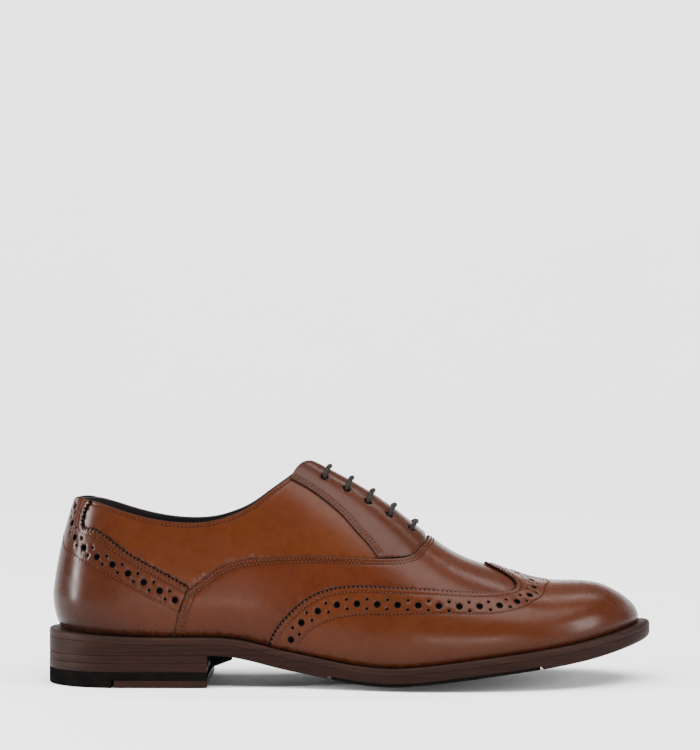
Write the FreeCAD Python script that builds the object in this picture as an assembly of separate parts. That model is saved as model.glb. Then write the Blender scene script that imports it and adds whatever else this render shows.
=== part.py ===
import FreeCAD, Part
import math
import os

# Right-foot wing-tip oxford shoe, in millimetres. +X points to the toe, +Z up, and -Y is the lateral
# (outer) side. The floor is z = 0, and the origin is under the middle of the sole's length and width.

Vector = FreeCAD.Vector
LATERAL, MEDIAL = -1, 1

# ---- driving dimensions ------------------------------------------------------------------------
SHOE_LENGTH = 308.0                  # outsole, heel to toe
SOLE_REAR = -SHOE_LENGTH / 2
SOLE_TIP = SHOE_LENGTH / 2
UPPER_REAR = -152.7                  # furthest back and furthest forward that the upper swells
UPPER_TIP = 148.7
MIDDLE = (UPPER_REAR + UPPER_TIP) / 2
HALF = (UPPER_TIP - UPPER_REAR) / 2

WELT_THICK = 3.4
SOLE_THICK = 9.1                     # welt and outsole together at the edge
TREAD_THICK = 1.5                    # rubber let into the outsole's forepart
TREAD_REAR, TREAD_FRONT = -11.0, 95.5
TREAD_NOTCH = 1.6                    # open notch in the sole's edge at each end of the tread
HEEL_BREAST = -70.2                  # front face of the heel block
BREAST_HOLLOW = 2.6                  # the breast's hollow in plan
HEEL_LEVELS = [16.2, 12.3, 7.9, 3.8, 0.0]   # undersides, from the outsole's seat down to the floor
TIP_JOIN = -119.0                    # where the rubber tip of the heel meets its leather insert
TIP_GAP, INSERT_LIFT = 1.2, 0.4      # the insert's clearance from the tip and from the floor
WELT_WIDTH = 17.0
CORK_TOP = -0.4                      # heights measured from the welt's top
BOARD_LEVEL, FOAM_LEVEL, SOCK_LEVEL = (0.1, 2.2), (2.25, 4.2), (4.25, 5.1)
BOARD_INSET, FOAM_INSET = 4.6, 6.2   # in from the feather edge
WEDGE_HALF_WIDTH = 21.0              # rubber wedge in the corner between the waist and the breast
WEDGE_PROFILE = [(-70.6, 18), (-59.6, 18), (-59.6, 12.6), (-66, 10.2), (-70.6, 8.6)]

LEATHER = 1.15                       # thickness of one layer of the upper
LINING = 0.85
GAP = 0.15                           # between neighbouring layers
OVER = (GAP, GAP + LEATHER)                              # toe cap, over the vamp
OUTER = (-LEATHER, 0.0)                                  # vamp, facings and heel counter
UNDER = (-2 * LEATHER - GAP, -LEATHER - GAP)             # quarters and stiffeners
INNER = (UNDER[0] - GAP - LINING, UNDER[0] - GAP)        # linings
GRIP = (INNER[0] - GAP - LINING, INNER[0] - GAP)         # suede grip inside the heel
TONGUE = (-8.5, -7.2)
TONGUE_LINING = (-9.4, -8.65)

LACE_RADIUS = 1.2
LACE_OUT, LACE_IN = 1.45, -5.65      # how far the lace's centre stands above and below the facing
LACE_CREST = LACE_OUT + 0.35         # and above the slit between the facings
AGLET_WALL, AGLET_LENGTH = 0.1, 9.0
EYELET_BORE, EYELET_WALL, EYELET_FLANGE = 2.05, 2.5, 3.15
EYELET_HOLE = 2.65                   # hole in the quarter and its lining, round the eyelet's barrel
EYELET_LENGTH = 2.1                  # the barrel ends blind under the facing
FLANGE_THICK, FLANGE_DROP = 0.35, 0.35   # the flat flange stands this far under the curved lining
EYELETS = [(31.0, 78.6), (20.0, 85.6), (9.1, 92.2), (-1.7, 98.5), (-12.9, 104.5)]


# ---- curves ------------------------------------------------------------------------------------
def spline(points):
    """Natural cubic spline through (x, value) points."""
    xs = [point[0] for point in points]
    ys = [point[1] for point in points]
    count = len(xs)
    bend = [0.0] * count
    rest = [0.0] * count
    for i in range(1, count - 1):
        span = xs[i + 1] - xs[i - 1]
        share = (xs[i] - xs[i - 1]) / span
        pivot = share * bend[i - 1] + 2
        bend[i] = (share - 1) / pivot
        jump = (ys[i + 1] - ys[i]) / (xs[i + 1] - xs[i]) - (ys[i] - ys[i - 1]) / (xs[i] - xs[i - 1])
        rest[i] = (6 * jump / span - share * rest[i - 1]) / pivot
    bend[-1] = 0.0
    for i in range(count - 2, -1, -1):
        bend[i] = bend[i] * bend[i + 1] + rest[i]

    def value(x):
        x = min(max(x, xs[0]), xs[-1])
        i = max(k for k in range(count - 1) if xs[k] <= x)
        step = xs[i + 1] - xs[i]
        a = (xs[i + 1] - x) / step
        b = 1 - a
        cubic = (a ** 3 - a) * bend[i] + (b ** 3 - b) * bend[i + 1]
        return a * ys[i] + b * ys[i + 1] + cubic * step * step / 6
    return value


def track(places):
    """Smooth line through places of the flattened upper, as a function of 0..1."""
    lengths = [0.0]
    for a, b in zip(places, places[1:]):
        lengths.append(lengths[-1] + math.dist(a, b))
    p = spline([(s / lengths[-1], place[0]) for s, place in zip(lengths, places)])
    q = spline([(s / lengths[-1], place[1]) for s, place in zip(lengths, places)])
    return lambda s: (p(s), q(s))


# ---- profiles along the shoe -------------------------------------------------------------------
welt_top = spline([(-154, 27.8), (-120, 25.6), (-90, 24.9), (-72, 25.0), (-60, 24.5), (-49, 22.6),
                   (-40, 20.4), (-19, 16.4), (1, 12.9), (25, 11.4), (44, 13.2), (79, 17.9), (115, 22.8),
                   (154, 30.9)])
crown_depth = spline([(-154, 0), (-60, 0), (-30, 0.4), (22, 2.05), (70, 0.6), (110, 0), (154, 0)])
crown = spline([(-152.7, 160), (-141, 171), (-129, 170), (-114, 163), (-94, 148.5), (-54, 117), (-20.5, 97),
                (5, 87), (26, 75), (46, 58.6), (60, 50), (77, 45.2), (97.5, 38.7), (118, 41),
                (130, 42.6), (139, 40.3), (148.7, 37)])
ridge_line = spline([(-154, 0), (40, 0), (61, 0.3), (91, 2), (116, 4.3), (136, 6.6), (149, 8.2)])
half_width = {
    LATERAL: spline([(-152.7, 69), (-134, 59.7), (-109, 46.7), (-79, 38.9), (-44, 35.6), (-4, 41.3),
                     (31, 50.4), (61, 56.1), (91, 60.1), (116, 61.7), (136, 60.6), (149, 56)]),
    MEDIAL: spline([(-152.7, 69), (-134, 59.7), (-109, 46.2), (-79, 37.5), (-44, 31), (-4, 32),
                    (31, 42), (61, 53.2), (91, 58.6), (116, 59.6), (136, 58.6), (149, 56)]),
}
pinch = spline([(-154, 0), (-125, 0.16), (-100, 0.36), (-75, 0.42), (-50, 0.24), (-28, 0.08), (-10, 0.04),
                (40, 0.0), (80, -0.06), (120, -0.04), (149, 0)])
tuck_depth = spline([(-154, 4.5), (-125, 3.8), (-90, 3.2), (0, 3.0), (100, 2.4), (149, 1.6)])
sole_margin = spline([(-154, 5.5), (-100, 4.8), (-40, 4.2), (20, 5.2), (110, 6.0), (149, 7.3)])
SEAT_CLEARANCE = 0.5                 # the upper's lower edge above the welt
TUCK_HEIGHT = 19.0                   # the upper swells outwards over this height


def feather(x):
    return welt_top(x) + SEAT_CLEARANCE


# ---- the upper's surface -----------------------------------------------------------------------
# The upper is a dome over the sole, flattened to a disc: its centre is on the instep and its rim
# is the feather edge. (p, q) is a place on the disc, with p forwards and q to the medial side.
def flatten(nx, ny, nz):
    reach = math.hypot(nx, ny)
    if reach < 1e-9:
        return 0.0, 0.0
    turn = math.atan2(reach, nz) / (math.pi / 2)
    return nx / reach * turn, ny / reach * turn


def spot(x, z, side):
    """Place of a point seen from the side at (x, z)."""
    nx = (x - MIDDLE) / HALF
    ring = 1 - nx * nx
    nz = min((z - feather(x)) / crown(x), math.sqrt(ring))
    return flatten(nx, side * math.sqrt(max(ring - nz * nz, 0.0)), nz)


def rim(x, side):
    """Place on the feather edge."""
    nx = min(max((x - MIDDLE) / HALF, -1.0), 1.0)
    return nx, side * math.sqrt(1 - nx * nx)


def ridge(x, offset):
    """Place beside the instep's centre line, offset sideways."""
    nx = (x - MIDDLE) / HALF
    ny = offset / half_width[LATERAL](x)
    return flatten(nx, ny, math.sqrt(1 - nx * nx - ny * ny))


def back(z, q=0.0):
    """Place on the back seam at height z."""
    low, high = -1.0, -0.5
    for _ in range(30):
        p = (low + high) / 2
        if skin(p, 0.0).z < z:
            low = p
        else:
            high = p
    return low, q


def skin(p, q):
    turn = math.hypot(p, q)
    gain = math.sin(turn * math.pi / 2) / turn if turn > 1e-9 else math.pi / 2
    nx, ny, nz = gain * p, gain * q, math.cos(turn * math.pi / 2)
    x = MIDDLE + HALF * nx
    ring = max(1 - nx * nx, 1e-9)
    side = max(-1.0, min(1.0, ny / math.sqrt(ring)))
    lean = side * (3 - side * side) / 2
    outer, inner = half_width[LATERAL](x), half_width[MEDIAL](x)
    width = (outer + inner) / 2 + (inner - outer) / 2 * lean
    y = ridge_line(x) + width * ny * (1 - pinch(x) * nz * nz / ring)
    z = feather(x) + crown(x) * nz
    rise = (z - feather(x)) / TUCK_HEIGHT
    if rise < 1:
        pull = tuck_depth(x) * (1 - max(rise, -0.2)) ** 2
        out = math.hypot(nx / HALF, ny / width)
        x -= pull * nx / HALF / out
        y -= pull * ny / width / out
    return Vector(x, y, z)


def normal(p, q):
    step = 0.002
    along = skin(p + step, q) - skin(p - step, q)
    across = skin(p, q + step) - skin(p, q - step)
    return along.cross(across).normalize()


def upper(place, lift):
    return skin(*place) + normal(*place) * lift


# ---- solids ------------------------------------------------------------------------------------
def save(name, shape):
    shape.exportStep("parts/" + name + ".step")
    kinds = "solids %d, valid %s" % (len(shape.Solids), shape.isValid())
    print("%-26s %9.0f mm3  %s" % (name, shape.Volume, kinds))


def spline_poles(points):
    """Poles of the cubic B-spline through evenly spaced points."""
    poles = list(points)
    for _ in range(24):
        before = poles[0] * 3 - poles[1] * 3 + poles[2]
        after = poles[-1] * 3 - poles[-2] * 3 + poles[-3]
        ends = [before] + poles + [after]
        reached = [(a + b * 4 + c) * (1 / 6) for a, b, c in zip(ends, ends[1:], ends[2:])]
        poles = [pole + (point - got) * 1.5 for pole, point, got in zip(poles, points, reached)]
    second = (poles[0] * 2 + poles[1]) * (1 / 3)
    last_but_one = (poles[-1] * 2 + poles[-2]) * (1 / 3)
    return [points[0], second] + poles[1:-1] + [last_but_one, points[-1]]


def smooth_surface(grid):
    """Surface through a grid of points."""
    lines = [spline_poles(line) for line in grid]
    columns = [spline_poles([line[j] for line in lines]) for j in range(len(lines[0]))]
    poles = [[column[i] for column in columns] for i in range(len(columns[0]))]
    mults = [[4] + [1] * (count - 4) + [4] for count in (len(poles), len(poles[0]))]
    knots = [[float(k) for k in range(len(mult))] for mult in mults]
    surface = Part.BSplineSurface()
    surface.buildFromPolesMultsKnots(poles, *mults, *knots, False, False, 3, 3)
    return surface


def between(low_grid, high_grid):
    """Closed solid between two grids of points."""
    faces = []
    edges = []
    for grid in (low_grid, high_grid):
        surface = smooth_surface(grid)
        faces.append(surface.toShape())
        u0, u1, v0, v1 = surface.bounds()
        sides = [surface.uIso(u0), surface.uIso(u1), surface.vIso(v0), surface.vIso(v1)]
        edges.append([side.toShape() for side in sides])
    for low, high in zip(*edges):
        faces.append(Part.makeRuledSurface(low, high, 1))
    shell = Part.makeShell(faces)
    shell.sewShape()
    solid = Part.makeSolid(shell)
    if solid.Volume < 0:
        solid.reverse()
    return solid


def part_way(a, b, t):
    return (a[0] + t * (b[0] - a[0]), a[1] + t * (b[1] - a[1]))


def band(lower, higher, level, columns, rows, crowding=0.0):
    """Shell of the upper between two lines of the disc, at one level of its thickness.
    Crowding draws the columns together towards the middle, where the shoe's ridge is."""
    grids = []
    for lift in level:
        grid = []
        for i in range(columns + 1):
            s = i / columns
            s += crowding * math.sin(2 * math.pi * s) / (2 * math.pi)
            a, b = lower(s), higher(s)
            grid.append([upper(part_way(a, b, j / rows), lift) for j in range(rows + 1)])
        grids.append(grid)
    return between(*grids)


def patch(low, high, left, right, level, columns, rows):
    """Shell of the upper inside four lines: low and high run left to right, the others upwards."""
    grids = []
    for lift in level:
        grid = []
        for i in range(columns + 1):
            s = i / columns
            line = []
            for j in range(rows + 1):
                t = j / rows
                down_up = part_way(low(s), high(s), t)
                across = part_way(left(t), right(t), s)
                corners = part_way(part_way(low(0), low(1), s), part_way(high(0), high(1), s), t)
                place = (down_up[0] + across[0] - corners[0], down_up[1] + across[1] - corners[1])
                line.append(upper(place, lift))
            grid.append(line)
        grids.append(grid)
    return between(*grids)


def rim_arc(x_from, x_to, turning_point):
    """The feather edge from the lateral side round the heel or the toe to the medial side."""
    start = math.atan2(*reversed(rim(x_from, LATERAL)))
    end = math.atan2(*reversed(rim(x_to, MEDIAL)))
    if turning_point < MIDDLE:
        end -= 2 * math.pi
    return lambda s: (math.cos(start + s * (end - start)), math.sin(start + s * (end - start)))


def rim_side(x_from, x_to, side):
    start = math.acos(rim(x_from, side)[0])
    end = math.acos(rim(x_to, side)[0])
    return lambda s: (math.cos(start + s * (end - start)), side * math.sin(start + s * (end - start)))


def both_sides(points, middle):
    """Line from the lateral side over a middle place to the medial side."""
    return track([spot(x, z, LATERAL) for x, z in points] + middle
                 + [spot(x, z, MEDIAL) for x, z in reversed(points)])


# ---- the bottom --------------------------------------------------------------------------------
def outline(margin, steps=96):
    """Plan of the feather edge, moved outwards by a margin."""
    points = []
    for k in range(steps):
        angle = 2 * math.pi * k / steps
        here = skin(math.cos(angle), math.sin(angle))
        ahead = skin(math.cos(angle + 0.01), math.sin(angle + 0.01))
        behind = skin(math.cos(angle - 0.01), math.sin(angle - 0.01))
        along = ahead - behind
        out = Vector(along.y, -along.x, 0).normalize()
        reach = margin(here.x) if callable(margin) else margin
        points.append(Vector(here.x + out.x * reach, here.y + out.y * reach, 0))
    return points


def column(points):
    """Tall solid over a closed plan."""
    curve = Part.BSplineCurve()
    curve.interpolate(Points=points, PeriodicFlag=True)
    face = Part.Face(Part.Wire([curve.toShape()]))
    return face.extrude(Vector(0, 0, 140))


def above(height):
    """Everything above the surface z = height(x), crowned across the forepart."""
    grid = []
    for i in range(56):
        x = -165 + 6 * i
        line = []
        for j in range(9):
            y = -64 + 16 * j
            sag = crown_depth(x) * (1 - (y / 48) ** 2)
            line.append(Vector(x, y, height(x) - sag))
        grid.append(line)
    return smooth_surface(grid).toShape().extrude(Vector(0, 0, 120))


def layer(plan, bottom, top):
    """Plan solid between two heights."""
    return plan.common(above(bottom)).cut(above(top))


def slab(x_from, x_to, z_from=-20.0, z_to=160.0):
    return Part.makeBox(x_to - x_from, 160, z_to - z_from, Vector(x_from, -80, z_from))


def sole_underside(x):
    """Flat over the heel, then a constant thickness under the welt."""
    blend = min(max((x - HEEL_BREAST + 6) / 24, 0), 1)
    blend = blend * blend * (3 - 2 * blend)
    return (1 - blend) * HEEL_LEVELS[0] + blend * (welt_top(x) - SOLE_THICK)


def breast_cut():
    """Everything in front of the heel's breast, which is slightly hollow in plan."""
    reach, front, foot = 70, 170, -5
    side = HEEL_BREAST + 1.0
    ends = [Vector(side, -reach, foot), Vector(side - BREAST_HOLLOW, 0, foot), Vector(side, reach, foot)]
    corners = [ends[2], Vector(front, reach, foot), Vector(front, -reach, foot), ends[0]]
    sides = [Part.makeLine(a, b) for a, b in zip(corners, corners[1:])]
    return Part.Face(Part.Wire([Part.Arc(*ends).toShape()] + sides)).extrude(Vector(0, 0, 60))


NAIL_RADIUS, NAIL_LENGTH = 1.2, 12.0
NAIL_PLACES = [(-138, 0), (-124, 17), (-124, -17), (-98, 20), (-98, -20)]


def heel_nails():
    feet = [Vector(x, y, HEEL_LEVELS[2]) for x, y in NAIL_PLACES]
    return Part.makeCompound([Part.makeCylinder(NAIL_RADIUS, NAIL_LENGTH, foot) for foot in feet])


def build_bottom():
    edge = column(outline(sole_margin))
    nails = heel_nails()

    ring = layer(edge, lambda x: welt_top(x) - WELT_THICK, welt_top)
    hollow = column(outline(lambda x: sole_margin(x) - WELT_WIDTH))
    ring = ring.cut(hollow)
    save("welt", ring.common(slab(HEEL_BREAST + 2.0, 170)))
    save("heel_rand", ring.common(slab(-170, HEEL_BREAST + 1.95)))

    tread_plan = column(outline(sole_margin)).common(slab(TREAD_REAR, TREAD_FRONT))
    tread = layer(tread_plan, sole_underside, lambda x: sole_underside(x) + TREAD_THICK)
    pocket = layer(tread_plan, lambda x: sole_underside(x) - 2, lambda x: sole_underside(x) + TREAD_THICK)
    outsole = layer(edge, sole_underside, lambda x: welt_top(x) - WELT_THICK).cut(pocket).cut(nails)
    save("outsole", outsole)
    tread = tread.common(slab(TREAD_REAR + TREAD_NOTCH, TREAD_FRONT - TREAD_NOTCH))
    save("forefoot_tread", tread)
    tread_floor = tread.BoundBox.ZMin

    wedge = Part.makePolygon([Vector(x, -WEDGE_HALF_WIDTH, z) for x, z in WEDGE_PROFILE + WEDGE_PROFILE[:1]])
    wedge = Part.Face(wedge).extrude(Vector(0, 2 * WEDGE_HALF_WIDTH, 0))
    wedge = wedge.cut(above(lambda x: sole_underside(x) - GAP))
    save("breast_wedge", wedge)

    block = edge.cut(breast_cut())
    names = ["heel_lift_upper", "heel_lift_lower", "heel_rubber"]
    for name, top, bottom in zip(names, HEEL_LEVELS, HEEL_LEVELS[1:]):
        lift = block.common(slab(-170, 0, bottom, top))
        if name != "heel_rubber":
            lift = lift.cut(nails)
        save(name, lift)
    tip = block.common(slab(-170, 0, HEEL_LEVELS[4], HEEL_LEVELS[3]))
    save("heel_tip", tip.common(slab(-170, TIP_JOIN)))
    save("heel_insert", tip.common(slab(TIP_JOIN + TIP_GAP, 0, INSERT_LIFT, HEEL_LEVELS[3])))
    save("heel_nails", nails)
    print("lowest point of the tread %.2f" % tread_floor)


SHANK_SIZE, SHANK_THICK = (98, 13), 1.6
SHANK_CORNER = Vector(-92, -8.5, 0)


def shank_underside(x):
    return welt_top(x) - 2.2


def build_inside_bottom():
    well = column(outline(lambda x: sole_margin(x) - WELT_WIDTH - 0.2)).cut(heel_nails())
    filler = layer(well, lambda x: welt_top(x) - WELT_THICK, lambda x: welt_top(x) + CORK_TOP)
    shank_plan = Part.makeBox(*SHANK_SIZE, 60, SHANK_CORNER)
    slot = layer(shank_plan, shank_underside, lambda x: welt_top(x) + 1)
    save("cork_filler", filler.cut(slot))
    save("shank", layer(shank_plan, shank_underside, lambda x: shank_underside(x) + SHANK_THICK))
    board, foam = column(outline(-BOARD_INSET)), column(outline(-FOAM_INSET))
    sheets = [("insole_board", board, BOARD_LEVEL), ("footbed_foam", foam, FOAM_LEVEL),
              ("sock_lining", foam, SOCK_LEVEL)]
    for name, plan, (low, high) in sheets:
        save(name, layer(plan, lambda x: welt_top(x) + low, lambda x: welt_top(x) + high))


# ---- seams, seen from the side -----------------------------------------------------------------
TOPLINE = [(-137.5, 93.9), (-129, 92.9), (-105.5, 85.8), (-89, 82.9), (-79, 82.5), (-68, 83.7),
           (-55.6, 87.9), (-43, 96), (-33, 103.4)]
TOPLINE_BACK = 93.5
FACING_TOP = -17.0                   # on the instep's centre line
THROAT = 40.5
WING_PEAK = 66.5
COUNTER_EDGE = [(-81.4, 49.3), (-92.4, 55.8), (-102.9, 61.3), (-112.9, 67.3), (-130.9, 78.7),
                (-134.6, 83.4), (-133.2, 88.5), (-134, 92.7)]
VAMP_SEAM = [(-81, 48.4), (-76.1, 51.9), (-67.9, 58.3), (-59.5, 62.3), (-45.5, 64.7), (-22, 65.8),
             (-5, 65.4), (14, 64.7), (28, 65.4), (35, 68.9)]
WING_EDGE = [(-37.3, 26.4), (-34.2, 31.3), (-29.7, 36.3), (-24.2, 41.4), (-12.7, 47.7), (5.1, 50.3),
             (24.8, 49.5), (59.4, 47.3), (71, 47.0), (79.6, 47.3), (83.7, 48.9), (84.1, 50.8), (80.7, 53.9)]
FACING_EDGE = [(-30.3, 104.4), (-22.2, 100.1), (-12.1, 93.2), (-3.5, 85.8), (3, 78.5), (9.5, 71.5),
               (14, 65.3)]
WING_HOLES = [(-29.2, 24.6), (-22.7, 34.4), (-13.2, 39.9), (-3.7, 42.4), (6.2, 42.6), (25.3, 42.2),
              (45.8, 41.5), (65.2, 41.1), (75.1, 41.4), (83.8, 43.0), (91.0, 46.2), (92.6, 49.6),
              (88.6, 52.4)]
COUNTER_HOLES = [(-87.3, 43.9), (-95.3, 48.6), (-103.4, 52.8), (-111.4, 57.3), (-119.5, 61.7),
                 (-127.8, 65.5), (-133.6, 69.3), (-139.3, 74.5), (-141.0, 81)]
PUNCH, PUNCH_SMALL = 1.65, 0.68      # radii of the brogue holes
PUNCH_ASIDE = 2.3                    # the small holes stand this far either side of the row
WING_PITCH, COUNTER_PITCH = 10.0, 9.2
QUARTER_LOWER = [(-112.9, 54.3), (-92.4, 43.5), (-81, 38.5), (-68, 45.5), (-54, 51.5), (-34, 54.7),
                 (-4, 54.5), (21, 54), (36, 58.5)]
LINING_SEAM = [(-66, 28.0), (-52, 32.5), (-30, 38), (-6, 44.5), (20, 54)]
PUFF_EDGE = [(66, 30), (72, 38), (81, 45.5)]
STIFFENER_EDGE = [(-84, 36.5), (-92.4, 42), (-112.9, 52.5)]
GRIP_LOW, GRIP_TOP = [(-112, 34), (-130, 36)], [(-112, 80), (-128, 84)]
QUARTER_BACK, STIFFENER_BACK, GRIP_BACK = 51, 49.5, (40, 85)   # heights on the back seam
COUNTER_FRONT = -87.0                # where the counter's front edge meets the welt
SEAM_SPLIT = 0.002                   # between the two quarters at the back seam
CENTRE_GAP = 0.6                     # half of the slit between the facings
THROAT_GAP = 2.0                     # how much more it opens at the throat
GAP_START, GAP_SPAN = 20.0, 16.0     # where it starts to open, and over what length
VAMP_CLEARANCE = 0.5                 # between the facing and the vamp's edge


def topline(side, start_gap=0.0):
    """From the back seam to the top of the facing."""
    places = [spot(x, z, side) for x, z in TOPLINE]
    return track([back(TOPLINE_BACK, side * start_gap)] + places + [ridge(FACING_TOP, side * CENTRE_GAP)])


def centre_gap(x):
    """Half of the slit between the facings, which opens towards the throat."""
    opening = min(max((x - GAP_START) / GAP_SPAN, 0), 1)
    return CENTRE_GAP + THROAT_GAP * opening * opening


def facing_edges(side):
    """Along the vamp's seam, along the topline, up the rear, and up the centre."""
    rear_low, rear_high = spot(*FACING_EDGE[-1], side), spot(*FACING_EDGE[0], side)
    throat = ridge(THROAT - 0.4, side * centre_gap(THROAT))
    top = ridge(FACING_TOP, side * CENTRE_GAP)
    seam = track([rear_low] + [spot(x, z + VAMP_CLEARANCE, side) for x, z in VAMP_SEAM[-2:]] + [throat])
    rear = track([spot(x, z, side) for x, z in reversed(FACING_EDGE)])
    stations = (THROAT - 0.4, 33, 26, 18, 9, -4, FACING_TOP)
    centre = track([ridge(x, side * centre_gap(x)) for x in stations])
    return seam, lambda s: part_way(rear_high, top, s), rear, centre


def through(x, z, side, radius):
    """Cylinder through every layer at one eyelet."""
    place = spot(x, z, side)
    return Part.makeCylinder(radius, 9.0, upper(place, -6.5), normal(*place))


def bore(shape, side, radius):
    for x, z in EYELETS:
        shape = shape.cut(through(x, z, side, radius))
    return shape


def punches(line, pitch, level):
    """Brogue holes: big ones evenly along a line, and a pair of small ones between each two."""
    places = [line(k / 400) for k in range(401)]
    steps = [(skin(*b) - skin(*a)).Length for a, b in zip(places, places[1:])]
    count = round(sum(steps) / pitch)
    wanted = sum(steps) / count
    row = [places[0]]
    gone = 0.0
    for step, place in zip(steps, places[1:]):
        gone += step
        if gone >= wanted * len(row) - step / 2:
            row.append(place)
    tools = []
    length = level[1] - level[0] + 1.0
    for place in row:
        tools.append(Part.makeCylinder(PUNCH, length, upper(place, level[0] - 0.5), normal(*place)))
    for a, b in zip(row, row[1:]):
        middle = part_way(a, b, 0.5)
        axis = normal(*middle)
        aside = axis.cross(skin(*b) - skin(*a)).normalize() * PUNCH_ASIDE
        for foot in (upper(middle, level[0] - 0.5) + aside, upper(middle, level[0] - 0.5) - aside):
            tools.append(Part.makeCylinder(PUNCH_SMALL, length, foot, axis))
    return Part.makeCompound(tools)


def build_upper():
    wing = both_sides(WING_EDGE, [ridge(WING_PEAK, 0)])
    wing_row = both_sides(WING_HOLES, [ridge(WING_PEAK + 8.5, 0)])
    cap = band(rim_arc(-39, -39, UPPER_TIP), wing, OVER, 96, 14, 0.55)
    save("toe_cap", cap.cut(punches(wing_row, WING_PITCH, OVER)))
    vamp_edge = both_sides(VAMP_SEAM, [ridge(THROAT, 0)])
    vamp_rim = rim_arc(COUNTER_FRONT + 0.6, COUNTER_FRONT + 0.6, UPPER_TIP)
    save("vamp", band(vamp_rim, vamp_edge, OUTER, 110, 18, 0.6))
    counter_edge = both_sides(COUNTER_EDGE, [back(TOPLINE_BACK)])
    counter = band(rim_arc(COUNTER_FRONT, COUNTER_FRONT, UPPER_REAR), counter_edge, OUTER, 60, 12)
    counter_row = both_sides(COUNTER_HOLES, [back(86)])
    save("heel_counter", counter.cut(punches(counter_row, COUNTER_PITCH, OUTER)))

    for side, word in ((LATERAL, "lateral"), (MEDIAL, "medial")):
        lower = track([back(QUARTER_BACK, SEAM_SPLIT * side)] + [spot(x, z, side) for x, z in QUARTER_LOWER]
                      + [ridge(45, side * CENTRE_GAP)])
        quarter = band(lower, topline(side, SEAM_SPLIT), UNDER, 64, 12)
        save("quarter_" + word, bore(quarter, side, EYELET_HOLE))

        facing = patch(*facing_edges(side), OUTER, 24, 30)
        save("facing_" + word, bore(facing, side, EYELET_BORE))

        seat = rim_side(UPPER_REAR, LINING_SEAM[0][0] - 6, side)
        lining_low = track([(-1.0, SEAM_SPLIT * side)] + [seat(k / 12) for k in range(1, 13)]
                           + [spot(x, z, side) for x, z in LINING_SEAM] + [ridge(46, side * CENTRE_GAP)])
        lining = band(lining_low, topline(side, SEAM_SPLIT), INNER, 64, 14)
        save("quarter_lining_" + word, bore(lining, side, EYELET_HOLE))

        backer_top = track([spot(x, z - 1.0, side) for x, z in QUARTER_LOWER[2:]])
        save("side_backer_" + word, band(rim_side(-79, 60, side), backer_top, UNDER, 32, 10))

        save("eyelets_" + word, eyelets(side))

    puff_edge = both_sides(PUFF_EDGE, [ridge(88, 0)])
    save("toe_puff", band(rim_arc(64, 64, UPPER_TIP), puff_edge, UNDER, 56, 12, 0.3))
    stiffener_edge = both_sides(STIFFENER_EDGE, [back(STIFFENER_BACK)])
    save("heel_stiffener", band(rim_arc(-84, -84, UPPER_REAR), stiffener_edge, UNDER, 40, 10))
    vamp_lining_edge = both_sides([(x + 1.0, z - 0.6) for x, z in LINING_SEAM], [ridge(47.5, 0)])
    lining_rim = rim_arc(LINING_SEAM[0][0] + 1.5, LINING_SEAM[0][0] + 1.5, UPPER_TIP)
    save("vamp_lining", band(lining_rim, vamp_lining_edge, INNER, 96, 16, 0.5))
    grip_low = both_sides(GRIP_LOW, [back(GRIP_BACK[0])])
    grip_top = both_sides(GRIP_TOP, [back(GRIP_BACK[1])])
    save("heel_grip", band(grip_low, grip_top, GRIP, 24, 10))


def eyelets(side):
    """Blind eyelets set from the inside, with a flared mouth for the lace."""
    rings = []
    for x, z in EYELETS:
        place = spot(x, z, side)
        axis = normal(*place)
        flange_foot = upper(place, INNER[0] - FLANGE_DROP - FLANGE_THICK)
        flange = Part.makeCylinder(EYELET_FLANGE, FLANGE_THICK, flange_foot, axis)
        barrel = Part.makeCylinder(EYELET_WALL, EYELET_LENGTH + FLANGE_DROP, flange_foot, axis)
        mouth = Part.makeCone(EYELET_WALL - 0.05, EYELET_BORE, 2 * FLANGE_THICK, flange_foot, axis)
        rings.append(barrel.fuse(flange).cut(through(x, z, side, EYELET_BORE)).cut(mouth))
    return Part.makeCompound(rings)


# ---- tongue ------------------------------------------------------------------------------------
TONGUE_STATIONS = [(34, 10), (20, 15), (4, 18), (-14, 20)]


def build_tongue():
    for name, level in (("tongue", TONGUE), ("tongue_lining", TONGUE_LINING)):
        outer = track([ridge(x, LATERAL * width) for x, width in TONGUE_STATIONS])
        inner = track([ridge(x, MEDIAL * width) for x, width in TONGUE_STATIONS])
        save(name, band(outer, inner, level, 20, 14))


# ---- lace --------------------------------------------------------------------------------------
# Places of the tucked ends: up along the row of eyelets from its lowest, and down from the row.
LATERAL_TUCK = [(4, 27), (20, 29.5), (38, 29), (50, 26), (54, 18), (50, 10), (38, 7.2), (25, 7.8), (12, 6)]
MEDIAL_TUCK = [(42, 5.5), (30, 7.6), (17, 7.2), (4, 9), (-1, 15), (0, 22), (8, 27), (22, 28.5), (36, 27.5)]
ROW_WAY, DOWN_WAY = (-0.86, 0.51), (-0.35, -0.94)   # directions up along the row, and down from it


def lace_route():
    """Straight bars over the facings, steps under them, and both ends tucked beside the tongue."""
    def tucked(along, below, side):
        x = EYELETS[0][0] + ROW_WAY[0] * along + DOWN_WAY[0] * below
        z = EYELETS[0][1] + ROW_WAY[1] * along + DOWN_WAY[1] * below
        return upper(spot(x, z, side), LACE_IN)

    route = [tucked(along, below, LATERAL) for along, below in LATERAL_TUCK]
    for k, (x, z) in enumerate(EYELETS):
        first = LATERAL if k % 2 == 0 else MEDIAL
        places = {side: spot(x, z, side) for side in (LATERAL, MEDIAL)}
        route.append(upper(places[first], LACE_IN))
        route.append(upper(places[first], LACE_OUT))
        crest = ridge(x + 2.3, 0)
        a, b = places[first], places[-first]
        for place in (part_way(a, crest, 0.5), crest, part_way(b, crest, 0.5)):
            route.append(upper(place, LACE_CREST))
        route.append(upper(b, LACE_OUT))
        route.append(upper(b, LACE_IN))
    route += [tucked(along, below, MEDIAL) for along, below in MEDIAL_TUCK]
    return route


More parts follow.
